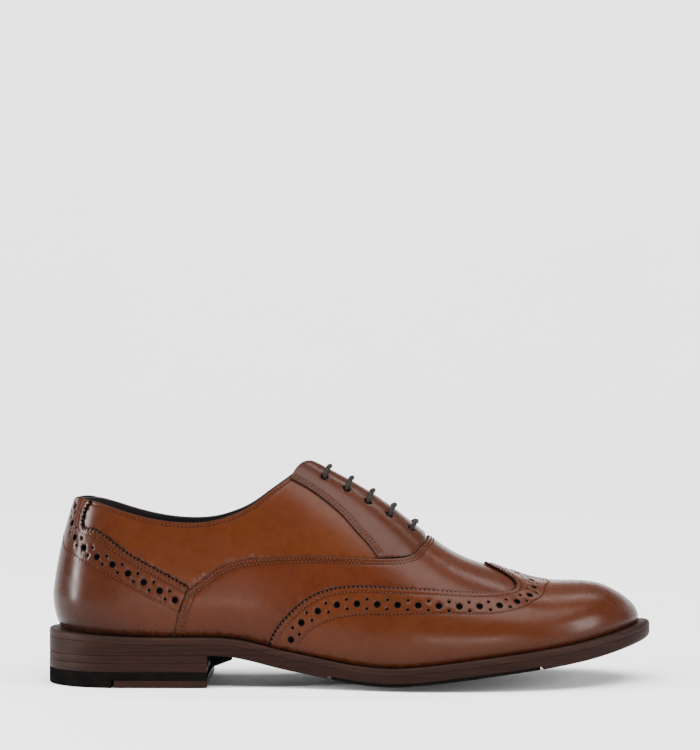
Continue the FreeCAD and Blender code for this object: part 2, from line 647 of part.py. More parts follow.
def rounded_path(route):
    """Straight runs joined by arcs that touch them."""
    edges = []
    radii = []
    start = route[0]
    for before, corner, after in zip(route, route[1:], route[2:]):
        a = (before - corner).normalize()
        b = (after - corner).normalize()
        half_turn = (math.pi - a.getAngle(b)) / 2
        cut = 0.45 * min((before - corner).Length, (after - corner).Length)
        radius = cut / math.tan(half_turn)
        radii.append(radius)
        first = corner + a * cut
        last = corner + b * cut
        middle = corner + (a + b).normalize() * (radius / math.cos(half_turn) - radius)
        edges.append(Part.LineSegment(start, first).toShape())
        edges.append(Part.Arc(first, middle, last).toShape())
        start = last
    edges.append(Part.LineSegment(start, route[-1]).toShape())
    return Part.Wire(edges), radii


def tube(wire, radius):
    start = wire.Edges[0].firstVertex().Point
    direction = wire.Edges[0].tangentAt(wire.Edges[0].FirstParameter)
    ring = Part.Wire([Part.makeCircle(radius, start, direction)])
    return wire.makePipeShell([ring], True, True)


def build_lace():
    route = lace_route()
    wire, radii = rounded_path(route)
    cord = tube(wire, LACE_RADIUS)
    save("lace", cord)
    print("lace length %.0f mm, volume over section x length %.4f" % (
        wire.Length, cord.Volume / (math.pi * LACE_RADIUS ** 2 * wire.Length)))
    print("lace radii " + " ".join("%.1f" % radius for radius in radii))
    tips = []
    for end, inside in ((route[0], route[1]), (route[-1], route[-2])):
        way = (end - inside).normalize()
        tips.append(Part.makeCylinder(LACE_RADIUS + AGLET_WALL, AGLET_LENGTH, end, way))
    save("aglets", Part.makeCompound(tips))


os.makedirs("parts", exist_ok=True)
build_bottom()
build_inside_bottom()
build_upper()
build_tongue()
build_lace()
hinge = upper(ridge(TONGUE_STATIONS[0][0], 0), TONGUE[0])
print("tongue hinge x %.2f z %.2f" % (hinge.x, hinge.z))
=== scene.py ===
import math
import random

import bmesh
import bpy
import numpy as np
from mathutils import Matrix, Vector
from mathutils.geometry import delaunay_2d_cdt
from mathutils.kdtree import KDTree


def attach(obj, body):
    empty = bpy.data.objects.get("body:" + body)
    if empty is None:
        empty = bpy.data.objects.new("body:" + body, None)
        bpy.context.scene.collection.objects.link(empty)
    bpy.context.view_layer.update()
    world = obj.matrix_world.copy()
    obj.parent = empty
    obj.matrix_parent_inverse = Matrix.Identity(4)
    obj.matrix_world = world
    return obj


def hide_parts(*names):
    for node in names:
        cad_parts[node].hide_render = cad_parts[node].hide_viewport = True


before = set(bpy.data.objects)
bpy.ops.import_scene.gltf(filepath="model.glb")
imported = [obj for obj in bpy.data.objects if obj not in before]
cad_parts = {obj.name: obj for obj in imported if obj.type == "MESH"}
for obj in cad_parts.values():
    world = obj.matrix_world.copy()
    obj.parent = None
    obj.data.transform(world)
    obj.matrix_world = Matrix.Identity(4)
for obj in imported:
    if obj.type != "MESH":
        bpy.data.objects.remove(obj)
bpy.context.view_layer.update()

# Wing-tip oxford shoe, worked out in millimetres, as in the CAD, and scaled. The studio is in metres.
random.seed(7)
MM = 0.001
SIDES = LATERAL, MEDIAL = -1, 1

# ---- levels through the upper, along its normal, in millimetres ----
LEATHER = 1.15
GAP = 0.15
OVER = (GAP, GAP + LEATHER)
OUTER = (-LEATHER, 0.0)
UNDER = (-2 * LEATHER - GAP, -LEATHER - GAP)
TONGUE = (-8.5, -7.2)
LACE_RADIUS = 1.2
LACE_OUT, LACE_IN = 1.45, -5.6
THREAD_LIFT = 0.04  # thread stands this far above its leather

UPPER_REAR = -152.7
UPPER_TIP = 148.7
MIDDLE = (UPPER_REAR + UPPER_TIP) / 2
HALF = (UPPER_TIP - UPPER_REAR) / 2
SEAT_CLEARANCE = 0.5  # between the welt and the upper's rim
TUCK_HEIGHT = 19.0  # below this the upper draws in towards the welt
THROAT = 40.5  # where the vamp's seam crosses the ridge
WING_PEAK = 69.8  # where the toe cap's point lies on the ridge
HOLES_PEAK, ROW_PEAK = 76.5, 81.5  # and its punched row and its outer stitches
FACING_TOP = -17.0
CENTRE_GAP = 0.6  # half of the slit between the facings
THROAT_GAP, GAP_START, GAP_SPAN = 2.0, 20.0, 16.0  # how it widens at the throat
VAMP_CLEARANCE, COUNTER_GAP = 0.4, 0.5
FACING_SHORT = 1.9  # how far behind the throat the facings end
TOPLINE_BACK = 93.5
QUARTER_BACK = 51.0  # heights on the back seam
COUNTER_HOLES_BACK, COUNTER_ROW_BACK = 86.0, 76.0
CAP_REAR, VAMP_REAR, COUNTER_TIP = -40.2, -88.2, -88.8  # where their edges meet the feather edge
TAB_CORNER = (-137.5, 94.0)
BACK_SPLIT = 0.003  # the two quarters part at the back seam

# ---- punching and sewing ----
PUNCH, PUNCH_SMALL, PUNCH_ASIDE = 1.65, 0.68, 2.3
CAP_PUNCH_PITCH, COUNTER_PUNCH_PITCH = 10.0, 9.2
LACE_HOLE, LACE_HOLE_UNDER = 2.05, 2.65
TOOTH_PITCH, CAP_TOOTH, COUNTER_TOOTH = 2.2, 1.3, 1.25
STITCH_PITCH, TOPLINE_PITCH = 1.9, 2.0
STITCH_THICK, STITCH_FILL = 0.32, 0.31  # half a stitch's width, and its half length per pitch
# How far the rows of stitches lie from the edges of their panels.
CAP_ROW_IN, COUNTER_ROW_IN, TOPLINE_ROW = 1.9, 2.2, 2.0
VAMP_ROWS, FRONT_ROWS, FACING_ROWS = (1.5, 3.0), (2.0, 4.2), (1.4, 3.1)

# ---- seams, seen from the side: (x, z) ----
TOPLINE = [(-137.5, 93.9), (-129, 92.9), (-105.5, 85.8), (-89, 82.9), (-79, 82.5), (-68, 83.7),
           (-55.6, 87.9), (-43, 96), (-33, 103.4)]
COUNTER_EDGE = [(-81.3, 49.4), (-92.4, 55.8), (-102.9, 61.3), (-113, 67.2), (-131.7, 78.3), (-135.9, 83.2),
                (-134.6, 88.5), (-131.5, 93.0)]
COUNTER_HOLES = [(-87.3, 43.9), (-95.3, 48.6), (-103.4, 52.8), (-111.4, 57.3), (-119.5, 61.7),
                 (-127.8, 65.5), (-133.6, 69.3), (-139.3, 74.5), (-141.0, 81), (-139.9, 89)]
COUNTER_ROW = [(-85.9, 37.9), (-94.8, 42.4), (-103.3, 47.4), (-111.4, 51.8), (-128, 60.2), (-139, 65.5),
               (-145.9, 71)]
COUNTER_FRONT = [(-88.4, 27.4), (-87.6, 30.5), (-85.4, 38.4), (-82.4, 46.6)]
VAMP_SEAM = [(-81, 48.4), (-76.1, 51.9), (-67.9, 58.3), (-59.5, 62.3), (-45.5, 64.7), (-22, 65.8),
             (-5, 65.4), (14, 64.7), (28, 65.4), (35, 68.9)]
FACING_EDGE = [(-30.3, 104.4), (-22.2, 100.1), (-12.1, 93.2), (-3.5, 85.8), (3, 78.5), (9.5, 71.5),
               (14, 65)]
WING_EDGE = [(-39.2, 22.4), (-37.3, 26.4), (-34.2, 31.3), (-29.7, 36.3), (-24.2, 41.4), (-12.7, 47.7),
             (5.1, 50.3), (24.8, 49.5), (59.4, 47.3), (71, 47.0), (79.6, 47.3), (83.7, 48.9), (84.1, 50.8),
             (80.7, 53.9)]
WING_HOLES = [(-29.2, 24.6), (-22.7, 34.4), (-13.2, 39.9), (-3.7, 42.4), (6.2, 42.6), (25.3, 42.2),
              (45.8, 41.5), (65.2, 41.1), (75.1, 41.4), (83.8, 43), (91, 46.2), (92.6, 49.6),
              (88.6, 52.4)]
WING_ROW = [(-25.7, 22.9), (-22.1, 27.6), (-17.1, 31.6), (-10.7, 34.5), (5.2, 37.7), (24.8, 38),
            (59.1, 37.8), (71.5, 37.9), (79, 38.9), (87.7, 41.1), (93.8, 43.6), (97.6, 46.2),
            (98.9, 48.6), (96.6, 50.6)]
QUARTER_LOWER = [(-112.9, 54.3), (-92.4, 43.5), (-81, 38.5), (-68, 45.5), (-54, 51.5), (-34, 54.7),
                 (-4, 54.5), (21, 54), (36, 58.5)]
QUARTER_FRONT = 45.0  # how far the quarter runs forward on the ridge
EYELETS = [(31.0, 78.6), (20.0, 85.6), (9.1, 92.2), (-1.7, 98.5), (-12.9, 104.5)]
TONGUE_STATIONS = [(34, 10), (20, 15), (4, 18), (-14, 20)]


# ---- curves ----
def spline(points):
    """Natural cubic spline through (x, value) points, for arrays."""
    xs = np.array([point[0] for point in points], float)
    ys = np.array([point[1] for point in points], float)
    count = len(xs)
    bend = np.zeros(count)
    rest = np.zeros(count)
    for i in range(1, count - 1):
        span = xs[i + 1] - xs[i - 1]
        share = (xs[i] - xs[i - 1]) / span
        pivot = share * bend[i - 1] + 2
        bend[i] = (share - 1) / pivot
        jump = (ys[i + 1] - ys[i]) / (xs[i + 1] - xs[i]) - (ys[i] - ys[i - 1]) / (xs[i] - xs[i - 1])
        rest[i] = (6 * jump / span - share * rest[i - 1]) / pivot
    bend[-1] = 0.0
    for i in range(count - 2, -1, -1):
        bend[i] = bend[i] * bend[i + 1] + rest[i]

    def value(x):
        x = np.clip(x, xs[0], xs[-1])
        i = np.clip(np.searchsorted(xs, x, side="right") - 1, 0, count - 2)
        step = xs[i + 1] - xs[i]
        a = (xs[i + 1] - x) / step
        b = 1 - a
        cubic = (a ** 3 - a) * bend[i] + (b ** 3 - b) * bend[i + 1]
        return a * ys[i] + b * ys[i + 1] + cubic * step * step / 6
    return value


welt_top = spline([(-154, 27.8), (-120, 25.6), (-90, 24.9), (-72, 25), (-60, 24.5), (-49, 22.6),
                   (-40, 20.4), (-19, 16.4), (1, 12.9), (25, 11.4), (44, 13.2), (79, 17.9),
                   (115, 22.8), (154, 30.9)])
crown = spline([(-152.7, 160), (-141, 171), (-129, 170), (-114, 163), (-94, 148.5), (-54, 117), (-20.5, 97),
                (5, 87), (26, 75), (46, 59.4), (60, 51.2), (77, 45.6), (97.5, 39.6), (118, 42.3),
                (130, 43.8), (139, 41.2), (148.7, 37)])
ridge_line = spline([(-154, 0), (40, 0), (61, 0.3), (91, 2), (116, 4.3), (136, 6.6), (149, 8.2)])
half_width = {
    LATERAL: spline([(-152.7, 69), (-134, 59.7), (-109, 46.7), (-79, 38.9), (-44, 35.6), (-4, 41.3),
                     (31, 50.4), (61, 56.1), (91, 60.1), (116, 61.7), (136, 60.6), (149, 56)]),
    MEDIAL: spline([(-152.7, 69), (-134, 59.7), (-109, 46.2), (-79, 37.5), (-44, 31), (-4, 32),
                    (31, 42), (61, 53.2), (91, 58.6), (116, 59.6), (136, 58.6), (149, 56)]),
}
pinch = spline([(-154, 0), (-125, 0.16), (-100, 0.36), (-75, 0.42), (-50, 0.24), (-28, 0.08), (-10, 0.04),
                (40, 0.0), (80, -0.06), (120, -0.04), (149, 0)])
tuck_depth = spline([(-154, 4.5), (-125, 3.8), (-90, 3.2), (0, 3.0), (100, 2.4), (149, 1.6)])
sole_margin = spline([(-154, 5.5), (-100, 4.8), (-40, 4.2), (20, 5.2), (110, 6.0), (149, 7.3)])


def feather(x):
    """Height of the upper's rim."""
    return welt_top(x) + SEAT_CLEARANCE


# ---- the upper's surface: places are (p, q) on a disc whose rim is the feather edge ----
def skin(places):
    """Points of the surface, in millimetres."""
    places = np.atleast_2d(np.asarray(places, float))
    p, q = places[:, 0], places[:, 1]
    turn = np.maximum(np.hypot(p, q), 1e-9)
    gain = np.sin(turn * math.pi / 2) / turn
    nx, ny, nz = gain * p, gain * q, np.cos(turn * math.pi / 2)
    x = MIDDLE + HALF * nx
    ring = np.maximum(1 - nx * nx, 1e-9)
    side = np.clip(ny / np.sqrt(ring), -1, 1)
    lean = side * (3 - side * side) / 2
    outer, inner = half_width[LATERAL](x), half_width[MEDIAL](x)
    width = (outer + inner) / 2 + (inner - outer) / 2 * lean
    y = ridge_line(x) + width * ny * (1 - pinch(x) * nz * nz / ring)
    rise = crown(x) * nz / TUCK_HEIGHT
    z = feather(x) + crown(x) * nz
    pull = tuck_depth(x) * np.clip(1 - np.maximum(rise, -0.2), 0, None) ** 2
    out = np.maximum(np.hypot(nx / HALF, ny / width), 1e-12)
    return np.stack([x - pull * nx / HALF / out, y - pull * ny / width / out, z], axis=1)


def unit(vectors):
    return vectors / np.maximum(np.linalg.norm(vectors, axis=1, keepdims=True), 1e-9)


def slopes(places):
    """How the surface runs along p and along q, and its normal."""
    step = 0.002
    places = np.atleast_2d(np.asarray(places, float))
    dp, dq = np.array([step, 0]), np.array([0, step])
    along = (skin(places + dp) - skin(places - dp)) / (2 * step)
    across = (skin(places + dq) - skin(places - dq)) / (2 * step)
    return along, across, unit(np.cross(along, across))


def upper(places, lift):
    """Points in millimetres at a lift above the surface."""
    lift = np.asarray(lift, float).reshape(-1, 1)
    return skin(places) + slopes(places)[2] * lift


def flatten(nx, ny, nz):
    """Place of a point of the unit dome."""
    reach = max(math.hypot(nx, ny), 1e-9)
    turn = math.atan2(reach, nz) / (math.pi / 2)
    return nx / reach * turn, ny / reach * turn


def spot(x, z, side):
    """Place of a point seen from the side at (x, z)."""
    nx = (x - MIDDLE) / HALF
    ring = 1 - nx * nx
    nz = min((z - float(feather(x))) / float(crown(x)), math.sqrt(ring))
    return flatten(nx, side * math.sqrt(max(ring - nz * nz, 0.0)), nz)


def ridge(x, offset):
    """Place beside the instep's centre line, offset sideways."""
    nx = (x - MIDDLE) / HALF
    ny = offset / float(half_width[LATERAL](x))
    return flatten(nx, ny, math.sqrt(1 - nx * nx - ny * ny))


def back(z):
    """Place on the back seam at height z."""
    low, high = -1.0, -0.5
    for _ in range(30):
        p = (low + high) / 2
        if skin([(p, 0.0)])[0][2] < z:
            low = p
        else:
            high = p
    return low, 0.0


def rim_arc(x, round_heel):
    """Feather edge from x on the lateral side round the heel or the toe to x on the medial side."""
    reach = math.acos((x - MIDDLE) / HALF)
    turn = np.linspace(-reach, reach - 2 * math.pi if round_heel else reach, 160)
    return np.stack([np.cos(turn), np.sin(turn)], axis=1)


# ---- lines on the surface ----
def lengths_along(points):
    """Distance of each point from the first, along the line."""
    return np.concatenate([[0], np.cumsum(np.linalg.norm(np.diff(points, axis=0), axis=1))])


def track(places, count=400):
    """Smooth line of places through the given ones."""
    places = np.array(places, float)
    lengths = lengths_along(places)
    s = np.linspace(0, lengths[-1], count)
    return np.stack([spline(list(zip(lengths, places[:, k])))(s) for k in (0, 1)], axis=1)


def spots(points, side):
    return [spot(x, z, side) for x, z in points]


def both_sides(points, middle):
    """Line from the lateral side over a middle place to the medial side."""
    return track(spots(points, LATERAL) + [middle] + spots(points[::-1], MEDIAL), 800)


def walk(line, pitch):
    """Places evenly spaced along a line, a pitch of millimetres apart."""
    lengths = lengths_along(skin(line))
    count = max(int(round(lengths[-1] / pitch)), 1)
    s = np.linspace(0, lengths[-1], count + 1)
    return np.stack([np.interp(s, lengths, line[:, k]) for k in (0, 1)], axis=1)


def tangents(line):
    return unit(np.gradient(skin(line), axis=0))


def nudge(places, moves):
    """Places moved by vectors of millimetres that lie in the surface."""
    along, across, _ = slopes(places)
    a, b, c = (along * along).sum(1), (along * across).sum(1), (across * across).sum(1)
    d, e = (along * moves).sum(1), (across * moves).sum(1)
    det = a * c - b * b
    return np.asarray(places) + np.stack([(c * d - b * e) / det, (a * e - b * d) / det], axis=1)


def beside(line, distance):
    """Line a distance to the left of another; the distance may vary along it."""
    up = slopes(line)[2]
    left = np.cross(up, tangents(line))
    return nudge(line, left * np.asarray(distance, float).reshape(-1, 1))


def chain(*lines):
    """Closed outline from lines that follow each other."""
    points = [np.asarray(lines[0][0])]
    for line in lines:
        points += [point for point in line if np.hypot(*(point - points[-1])) > 1e-5]
    if np.hypot(*(points[0] - points[-1])) < 1e-5:
        points.pop()
    return np.array(points)


def ring_of(place, radius, count):
    """Round hole about a place, as a loop of places."""
    turn = np.arange(count) * 2 * math.pi / count
    centre = np.repeat([place], count, axis=0)
    along, _, up = slopes(centre)
    first = unit(along)
    second = np.cross(up, first)
    return nudge(centre, radius * (first * np.cos(turn)[:, None] + second * np.sin(turn)[:, None]))


def pinked(line, pitch, depth):
    """Line cut with pointed teeth that stand out to its left."""
    places = walk(line, pitch / 4)
    phase = np.arange(len(places)) % 4
    return beside(places, depth * np.array([0.0, 0.5, 1.0, 0.5])[phase])


# ---- meshes ----
def piece_from(name, verts, polygons, sharp=48):
    """Object from points in millimetres."""
    mesh = bpy.data.meshes.new(name)
    mesh.from_pydata(np.asarray(verts) * MM, [], polygons)
    mesh.update()
    mesh.shade_smooth()
    mesh.set_sharp_from_angle(angle=math.radians(sharp))
    piece = bpy.data.objects.new(name, mesh)
    bpy.context.collection.objects.link(piece)
    return piece


def paint(piece, key, values):
    """Gives each vertex a value that the piece's material reads."""
    layer = piece.data.attributes.new(key, "FLOAT", "POINT")
    layer.data.foreach_set("value", np.asarray(values, np.float32))


def tube_faces(rings, corners):
    """Faces between rings of points that follow each other."""
    faces = []
    for k in range(rings - 1):
        for j in range(corners):
            a, b = k * corners + j, k * corners + (j + 1) % corners
            faces.append((a, b, b + corners, a + corners))
    return faces


def closed_tube_faces(rings, corners):
    ends = [tuple(reversed(range(corners))), tuple(range((rings - 1) * corners, rings * corners))]
    return tube_faces(rings, corners) + ends


def join_shapes(name, shapes, sharp=48):
    """One piece from several (points, polygons)."""
    verts = []
    polygons = []
    first = 0
    for points, faces in shapes:
        verts.append(points)
        polygons += [tuple(v + first for v in face) for face in faces]
        first += len(points)
    return piece_from(name, np.concatenate(verts), polygons, sharp)


def settle(piece, finish, slot, *nodes, body="shoe"):
    """The piece's material, record slot (not used), the CAD nodes it stands for, and its body."""
    piece.data.materials.append(MATERIALS[finish])
    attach(piece, body)
    if nodes:
        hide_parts(*nodes)


# ---- leather panels ----
DOMAIN_SCALE = np.array([200.0, 90.0])  # roughly millimetres per unit of place
DISC_REACH = 1.03  # the surface goes on a little beyond its rim
GRID_CLEAR, POINT_CLEAR = 0.8, 0.25  # least distance of grid points, and of any, from an edge
EDGE_ROLL, ROLL_WIDTH = 0.28, 0.42  # how far and over what width a cut edge is rounded
FURROW_DEPTH, FURROW_WIDTH = 0.16, 0.48  # the dent that a row of stitches draws into the leather
SHADOW_DEPTH, STEP_WIDTH = 0.45, 0.35  # how far, and over what width, a layer is pressed under the next; the same width ramps the painted shade there
CUT_WIDTH = 0.35  # over what width the raw edge shows


def inside(points, loop):
    """Which points lie inside a closed loop."""
    x, y = points[:, 0], points[:, 1]
    found = np.zeros(len(points), bool)
    for (x0, y0), (x1, y1) in zip(loop, np.roll(loop, -1, axis=0)):
        if y0 != y1:
            found ^= ((y0 > y) != (y1 > y)) & (x < (x1 - x0) * (y - y0) / (y1 - y0) + x0)
    return found


def distance_to(lines, points):
    """Distance in millimetres of each point from the nearest point of some lines of places."""
    marks = np.concatenate([skin(line) for line in lines])
    tree = KDTree(len(marks))
    for index, mark in enumerate(marks):
        tree.insert(mark, index)
    tree.balance()
    return np.array([tree.find(point)[2] for point in points])


def finer(loop, pitch=0.5):
    return walk(np.concatenate([loop, loop[:1]]), pitch)


def triangulate(loops, fillers, scale=DOMAIN_SCALE):
    """Vertices and triangles inside the first loop and outside the others."""
    verts = []
    edges = []
    for loop in loops:
        first = len(verts)
        verts += [Vector(v) for v in loop * scale]
        edges += [(first + k, first + (k + 1) % len(loop)) for k in range(len(loop))]
    verts += [Vector(v) for v in fillers * scale]
    out, _, faces, *_ = delaunay_2d_cdt(verts, edges, [], 0, 1e-5)
    places = np.array([tuple(v) for v in out]) / scale
    faces = np.array([face for face in faces if len(face) == 3])
    centres = places[faces].mean(axis=1)
    keep = inside(centres, loops[0])
    for loop in loops[1:]:
        keep &= ~inside(centres, loop)
    faces = faces[keep]
    used, faces = np.unique(faces, return_inverse=True)
    return places[used], faces.reshape(-1, 3)


def open_edges(faces):
    """Edges that only one triangle has, in that triangle's order."""
    pairs = np.concatenate([faces[:, [0, 1]], faces[:, [1, 2]], faces[:, [2, 0]]])
    size = faces.max() + 1
    keys, reverse = pairs[:, 0] * size + pairs[:, 1], pairs[:, 1] * size + pairs[:, 0]
    return pairs[~np.isin(keys, reverse)]


def panel(name, outline, level, holes=(), rows=(), spacing=1.7, covers=()):
    """Closed leather panel: a rounded cut edge, punched holes, and furrows along its stitch rows."""
    loops = [outline] + list(holes)
    fine = [finer(loop) for loop in loops]
    step = spacing / DOMAIN_SCALE
    low, high = outline.min(axis=0), outline.max(axis=0)
    across = np.arange(low[1], high[1], step[1])
    grid = np.array([(p + (k % 2) * step[0] / 2, q) for k, q in enumerate(across)
                     for p in np.arange(low[0], high[0], step[0])])
    grid = grid[inside(grid, outline) & (np.hypot(grid[:, 0], grid[:, 1]) < DISC_REACH)]
    extra = [grid[distance_to(fine, skin(grid)) > GRID_CLEAR]]
    for loop in loops:
        closed = np.concatenate([loop, loop[:1]])
        extra += [beside(closed, ROLL_WIDTH * sign)[:-1] for sign in (-1, 1)]
    for row in rows:
        places = walk(row, 0.9)
        extra += [beside(places, distance) for distance in (-0.95, -0.45, 0.0, 0.45, 0.95)]
    for cover in covers:
        places = finer(cover, 0.9)
        extra += [beside(places, distance) for distance in (-0.35, 0.0, 0.4)]
    fillers = np.concatenate(extra)
    keep = inside(fillers, outline)
    for hole in holes:
        keep &= ~inside(fillers, hole)
    fillers = fillers[keep]
    fillers = fillers[distance_to(fine, skin(fillers)) > POINT_CLEAR]
    places, faces = triangulate(loops, fillers)

    points, ups = skin(places), slopes(places)[2]
    edge = distance_to(fine, points)
    furrow = np.zeros(len(points))
    if rows:
        furrow = np.exp(-(distance_to([walk(row, 0.4) for row in rows], points) / FURROW_WIDTH) ** 2)
    # Painted shade: leather under another panel's edge is coloured near black, so holes and notches over it
    # look dark; the same mask presses it down.
    covered_shade = np.zeros(len(points))
    for cover in covers:
        depth = np.where(inside(places, cover), distance_to([finer(cover)], points), 0)
        covered_shade = np.maximum(covered_shade, np.clip(depth / STEP_WIDTH, 0, 1))

    rolled = np.clip(1 - edge / ROLL_WIDTH, 0, 1) ** 2
    lift = level[1] - SHADOW_DEPTH * covered_shade - EDGE_ROLL * rolled - FURROW_DEPTH * furrow
    count = len(points)
    polygons = [tuple(face) for face in faces] + [(c + count, b + count, a + count) for a, b, c in faces]
    polygons += [(b, a, a + count, b + count) for a, b in open_edges(faces)]
    top = points + ups * lift[:, None]
    piece = piece_from(name, np.concatenate([top, points + ups * level[0]]), polygons)
    paint(piece, "burnish_and_shade", np.tile(burnish_and_shade(points), 2))
    paint(piece, "seam", np.tile(furrow, 2))
    paint(piece, "covered_shade", np.tile(covered_shade, 2))
    paint(piece, "cut", np.concatenate([np.clip(1.3 - edge / CUT_WIDTH, 0, 1), np.ones(count)]))
    return piece


def burnish_and_shade(points):
    """How dark the polish is at the toe and the heel's back, with painted shade just over the welt where the
    upper meets it.
    """
    x = points[:, 0]
    height = np.clip(points[:, 2] - welt_top(x), 0, None)
    toe = np.clip((x - 100) / 48, 0, 1) ** 1.6
    heel = np.clip((-112 - x) / 40, 0, 1)
    heel_low = np.clip((-88 - x) / 30, 0, 1) * np.exp(-height / 22)
    # The term that fades over 2.2 mm of height is painted shade where the upper meets the welt; the toe and
    # heel terms are polish.
    return np.clip(0.55 * toe + 0.75 * heel + 0.7 * np.exp(-height / 2.2) + 0.4 * heel_low, 0, 1)


# ---- stitches ----
def thread_shape():
    """One stitch along X, of unit size: a rounded capsule."""
    rings = [(-1.0, 0.12), (-0.8, 0.66), (-0.35, 1.0), (0.35, 1.0), (0.8, 0.66), (1.0, 0.12)]
    corners = 6
    turns = [2 * math.pi * j / corners for j in range(corners)]
    verts = [(x, r * math.cos(turn), r * math.sin(turn)) for x, r in rings for turn in turns]
    return np.array(verts), closed_tube_faces(len(rings), corners)


STITCH_VERTS, STITCH_FACES = thread_shape()


def stitches(name, rows, lift, pitch):
    """Sewing thread along rows of places: a short capsule for each stitch."""
    shapes = []
    for row in rows:
        ends = walk(row, pitch)
        middles = (ends[:-1] + ends[1:]) / 2
        forward, ups = tangents(middles), slopes(middles)[2]
        left = np.cross(ups, forward)
        for centre, f, l, u in zip(upper(middles, np.full(len(middles), lift)), forward, left, ups):
            size = random.uniform(0.92, 1.08)
            skew = f + l * random.uniform(-0.06, 0.06)
            shape = (STITCH_VERTS[:, :1] * pitch * STITCH_FILL * size * skew
                     + STITCH_VERTS[:, 1:2] * STITCH_THICK * l + STITCH_VERTS[:, 2:] * STITCH_THICK * u)
            shapes.append((centre + shape, STITCH_FACES))
    return join_shapes(name, shapes, 180)


# ---- materials ----
def srgb(red, green, blue):
    """Linear colour of an 8-bit one."""
    return tuple(((v / 255 + 0.055) / 1.055) ** 2.4 for v in (red, green, blue)) + (1.0,)


class Shader:
    """Small builder for a procedural material."""

    def __init__(self, name):
        self.material = bpy.data.materials.new(name)
        self.material.use_nodes = True
        self.tree = self.material.node_tree
        self.tree.nodes.clear()
        self.output = self.tree.nodes.new("ShaderNodeOutputMaterial")
        self.surface = self.tree.nodes.new("ShaderNodeBsdfPrincipled")
        self.join(self.surface.outputs[0], self.output.inputs[0])
        self.coordinates = self.tree.nodes.new("ShaderNodeTexCoord").outputs["Object"]

    def join(self, start, end):
        self.tree.links.new(start, end)

    def put(self, value, socket):
        """Links another node's output, or sets a fixed value."""
        if isinstance(value, bpy.types.NodeSocket):
            self.join(value, socket)
        else:
            socket.default_value = value

    def add(self, kind, **values):
        node = self.tree.nodes.new("ShaderNode" + kind)
        for key, value in values.items():
            self.put(value, node.inputs[key])
        return node

    def noise(self, scale, detail, stretch=(1, 1, 1)):
        vector = self.add("Mapping", Vector=self.coordinates, Scale=stretch).outputs[0]
        return self.add("TexNoise", Vector=vector, Scale=scale, Detail=detail).outputs["Fac"]

    def cells(self, scale):
        return self.add("TexVoronoi", Vector=self.coordinates, Scale=scale).outputs["Distance"]

    def value_of(self, key):
        node = self.add("Attribute")
        node.attribute_name = key
        return node.outputs["Fac"]

    def remap(self, value, low, high, to_low, to_high):
        node = self.add("MapRange")
        for socket, number in zip(node.inputs, (value, low, high, to_low, to_high)):
            self.put(number, socket)
        return node.outputs[0]

    def largest(self, first, second):
        node = self.add("Math")
        node.operation = "MAXIMUM"
        self.put(first, node.inputs[0])
        self.put(second, node.inputs[1])
        return node.outputs[0]

    def mix(self, factor, first, second):
        node = self.add("Mix")
        node.data_type = "RGBA"
        for index, value in ((0, factor), (6, first), (7, second)):
            self.put(value, node.inputs[index])
        return node.outputs[2]

    def bump(self, height, strength, distance):
        node = self.add("Bump", Strength=strength, Distance=distance, Height=height)
        normal = self.surface.inputs["Normal"]
        if normal.is_linked:
            self.join(normal.links[0].from_socket, node.inputs["Normal"])
        self.join(node.outputs[0], normal)

    def finish(self, colour, roughness, **uniform):
        self.join(colour, self.surface.inputs["Base Color"])
        self.join(roughness, self.surface.inputs["Roughness"])
        for socket, number in uniform.items():
            self.surface.inputs[socket.replace("_", " ")].default_value = number
        return self.material


def polished_leather(name, tan, deep, seed):
    """Smooth calf: mottled tan, dark where polish gathers, painted shade just over the welt and under
    covering edges, fine pores and faint creases.
    """
    shader = Shader(name)
    cloud = shader.remap(shader.noise(11 + seed, 2.0), 0.3, 0.7, 0.0, 1.0)
    deep = srgb(*deep)
    colour = shader.mix(cloud, srgb(*tan), deep)
    fleck = shader.remap(shader.noise(260, 3.0), 0.35, 0.7, 0.0, 0.22)
    colour = shader.mix(fleck, colour, tuple(v * 0.45 for v in deep[:3]) + (1.0,))
    # Darkens with polish at the toe and heel and with painted shade just over the welt.
    colour = shader.mix(shader.remap(shader.value_of("burnish_and_shade"), 0, 1, 0, 0.86), colour, srgb(20, 9, 7))
    colour = shader.mix(shader.remap(shader.value_of("seam"), 0, 1, 0, 0.85), colour, srgb(18, 9, 6))
    colour = shader.mix(shader.value_of("cut"), colour, srgb(18, 9, 6))
    # Painted shade: near black where another panel covers this one.
    colour = shader.mix(shader.value_of("covered_shade"), colour, srgb(5, 3, 2))
    shader.bump(shader.noise(30, 3.0), 0.12, 0.0006)
    shader.bump(shader.cells(1500), 0.08, 0.00012)
    rough = shader.remap(shader.noise(120, 4.0), 0.3, 0.7, 0.24, 0.32)
    for key in ("covered_shade", "cut"):
        rough = shader.largest(rough, shader.remap(shader.value_of(key), 0, 1, 0, 0.95))
    return shader.finish(colour, rough, Specular_IOR_Level=0.1)


def plain(name, first, second, scale, roughness, bump, depth, stretch=(1, 1, 1), grain=None,
          specular=0.25, **uniform):
    """Two tones worked into each other by a noise, with the same noise in relief."""
    shader = Shader(name)
    pattern = shader.noise(scale, 5.0, stretch)
    colour = shader.mix(shader.remap(pattern, 0.3, 0.7, 0.0, 1.0), srgb(*first), srgb(*second))
    if grain:
        shader.bump(shader.cells(grain), bump, depth)
    shader.bump(pattern, bump, depth)
    finer_noise = shader.noise(scale * 2.3, 3.0, stretch)
    spread = shader.remap(finer_noise, 0.3, 0.7, roughness - 0.06, roughness + 0.06)
    return shader.finish(colour, spread, Specular_IOR_Level=specular, **uniform)


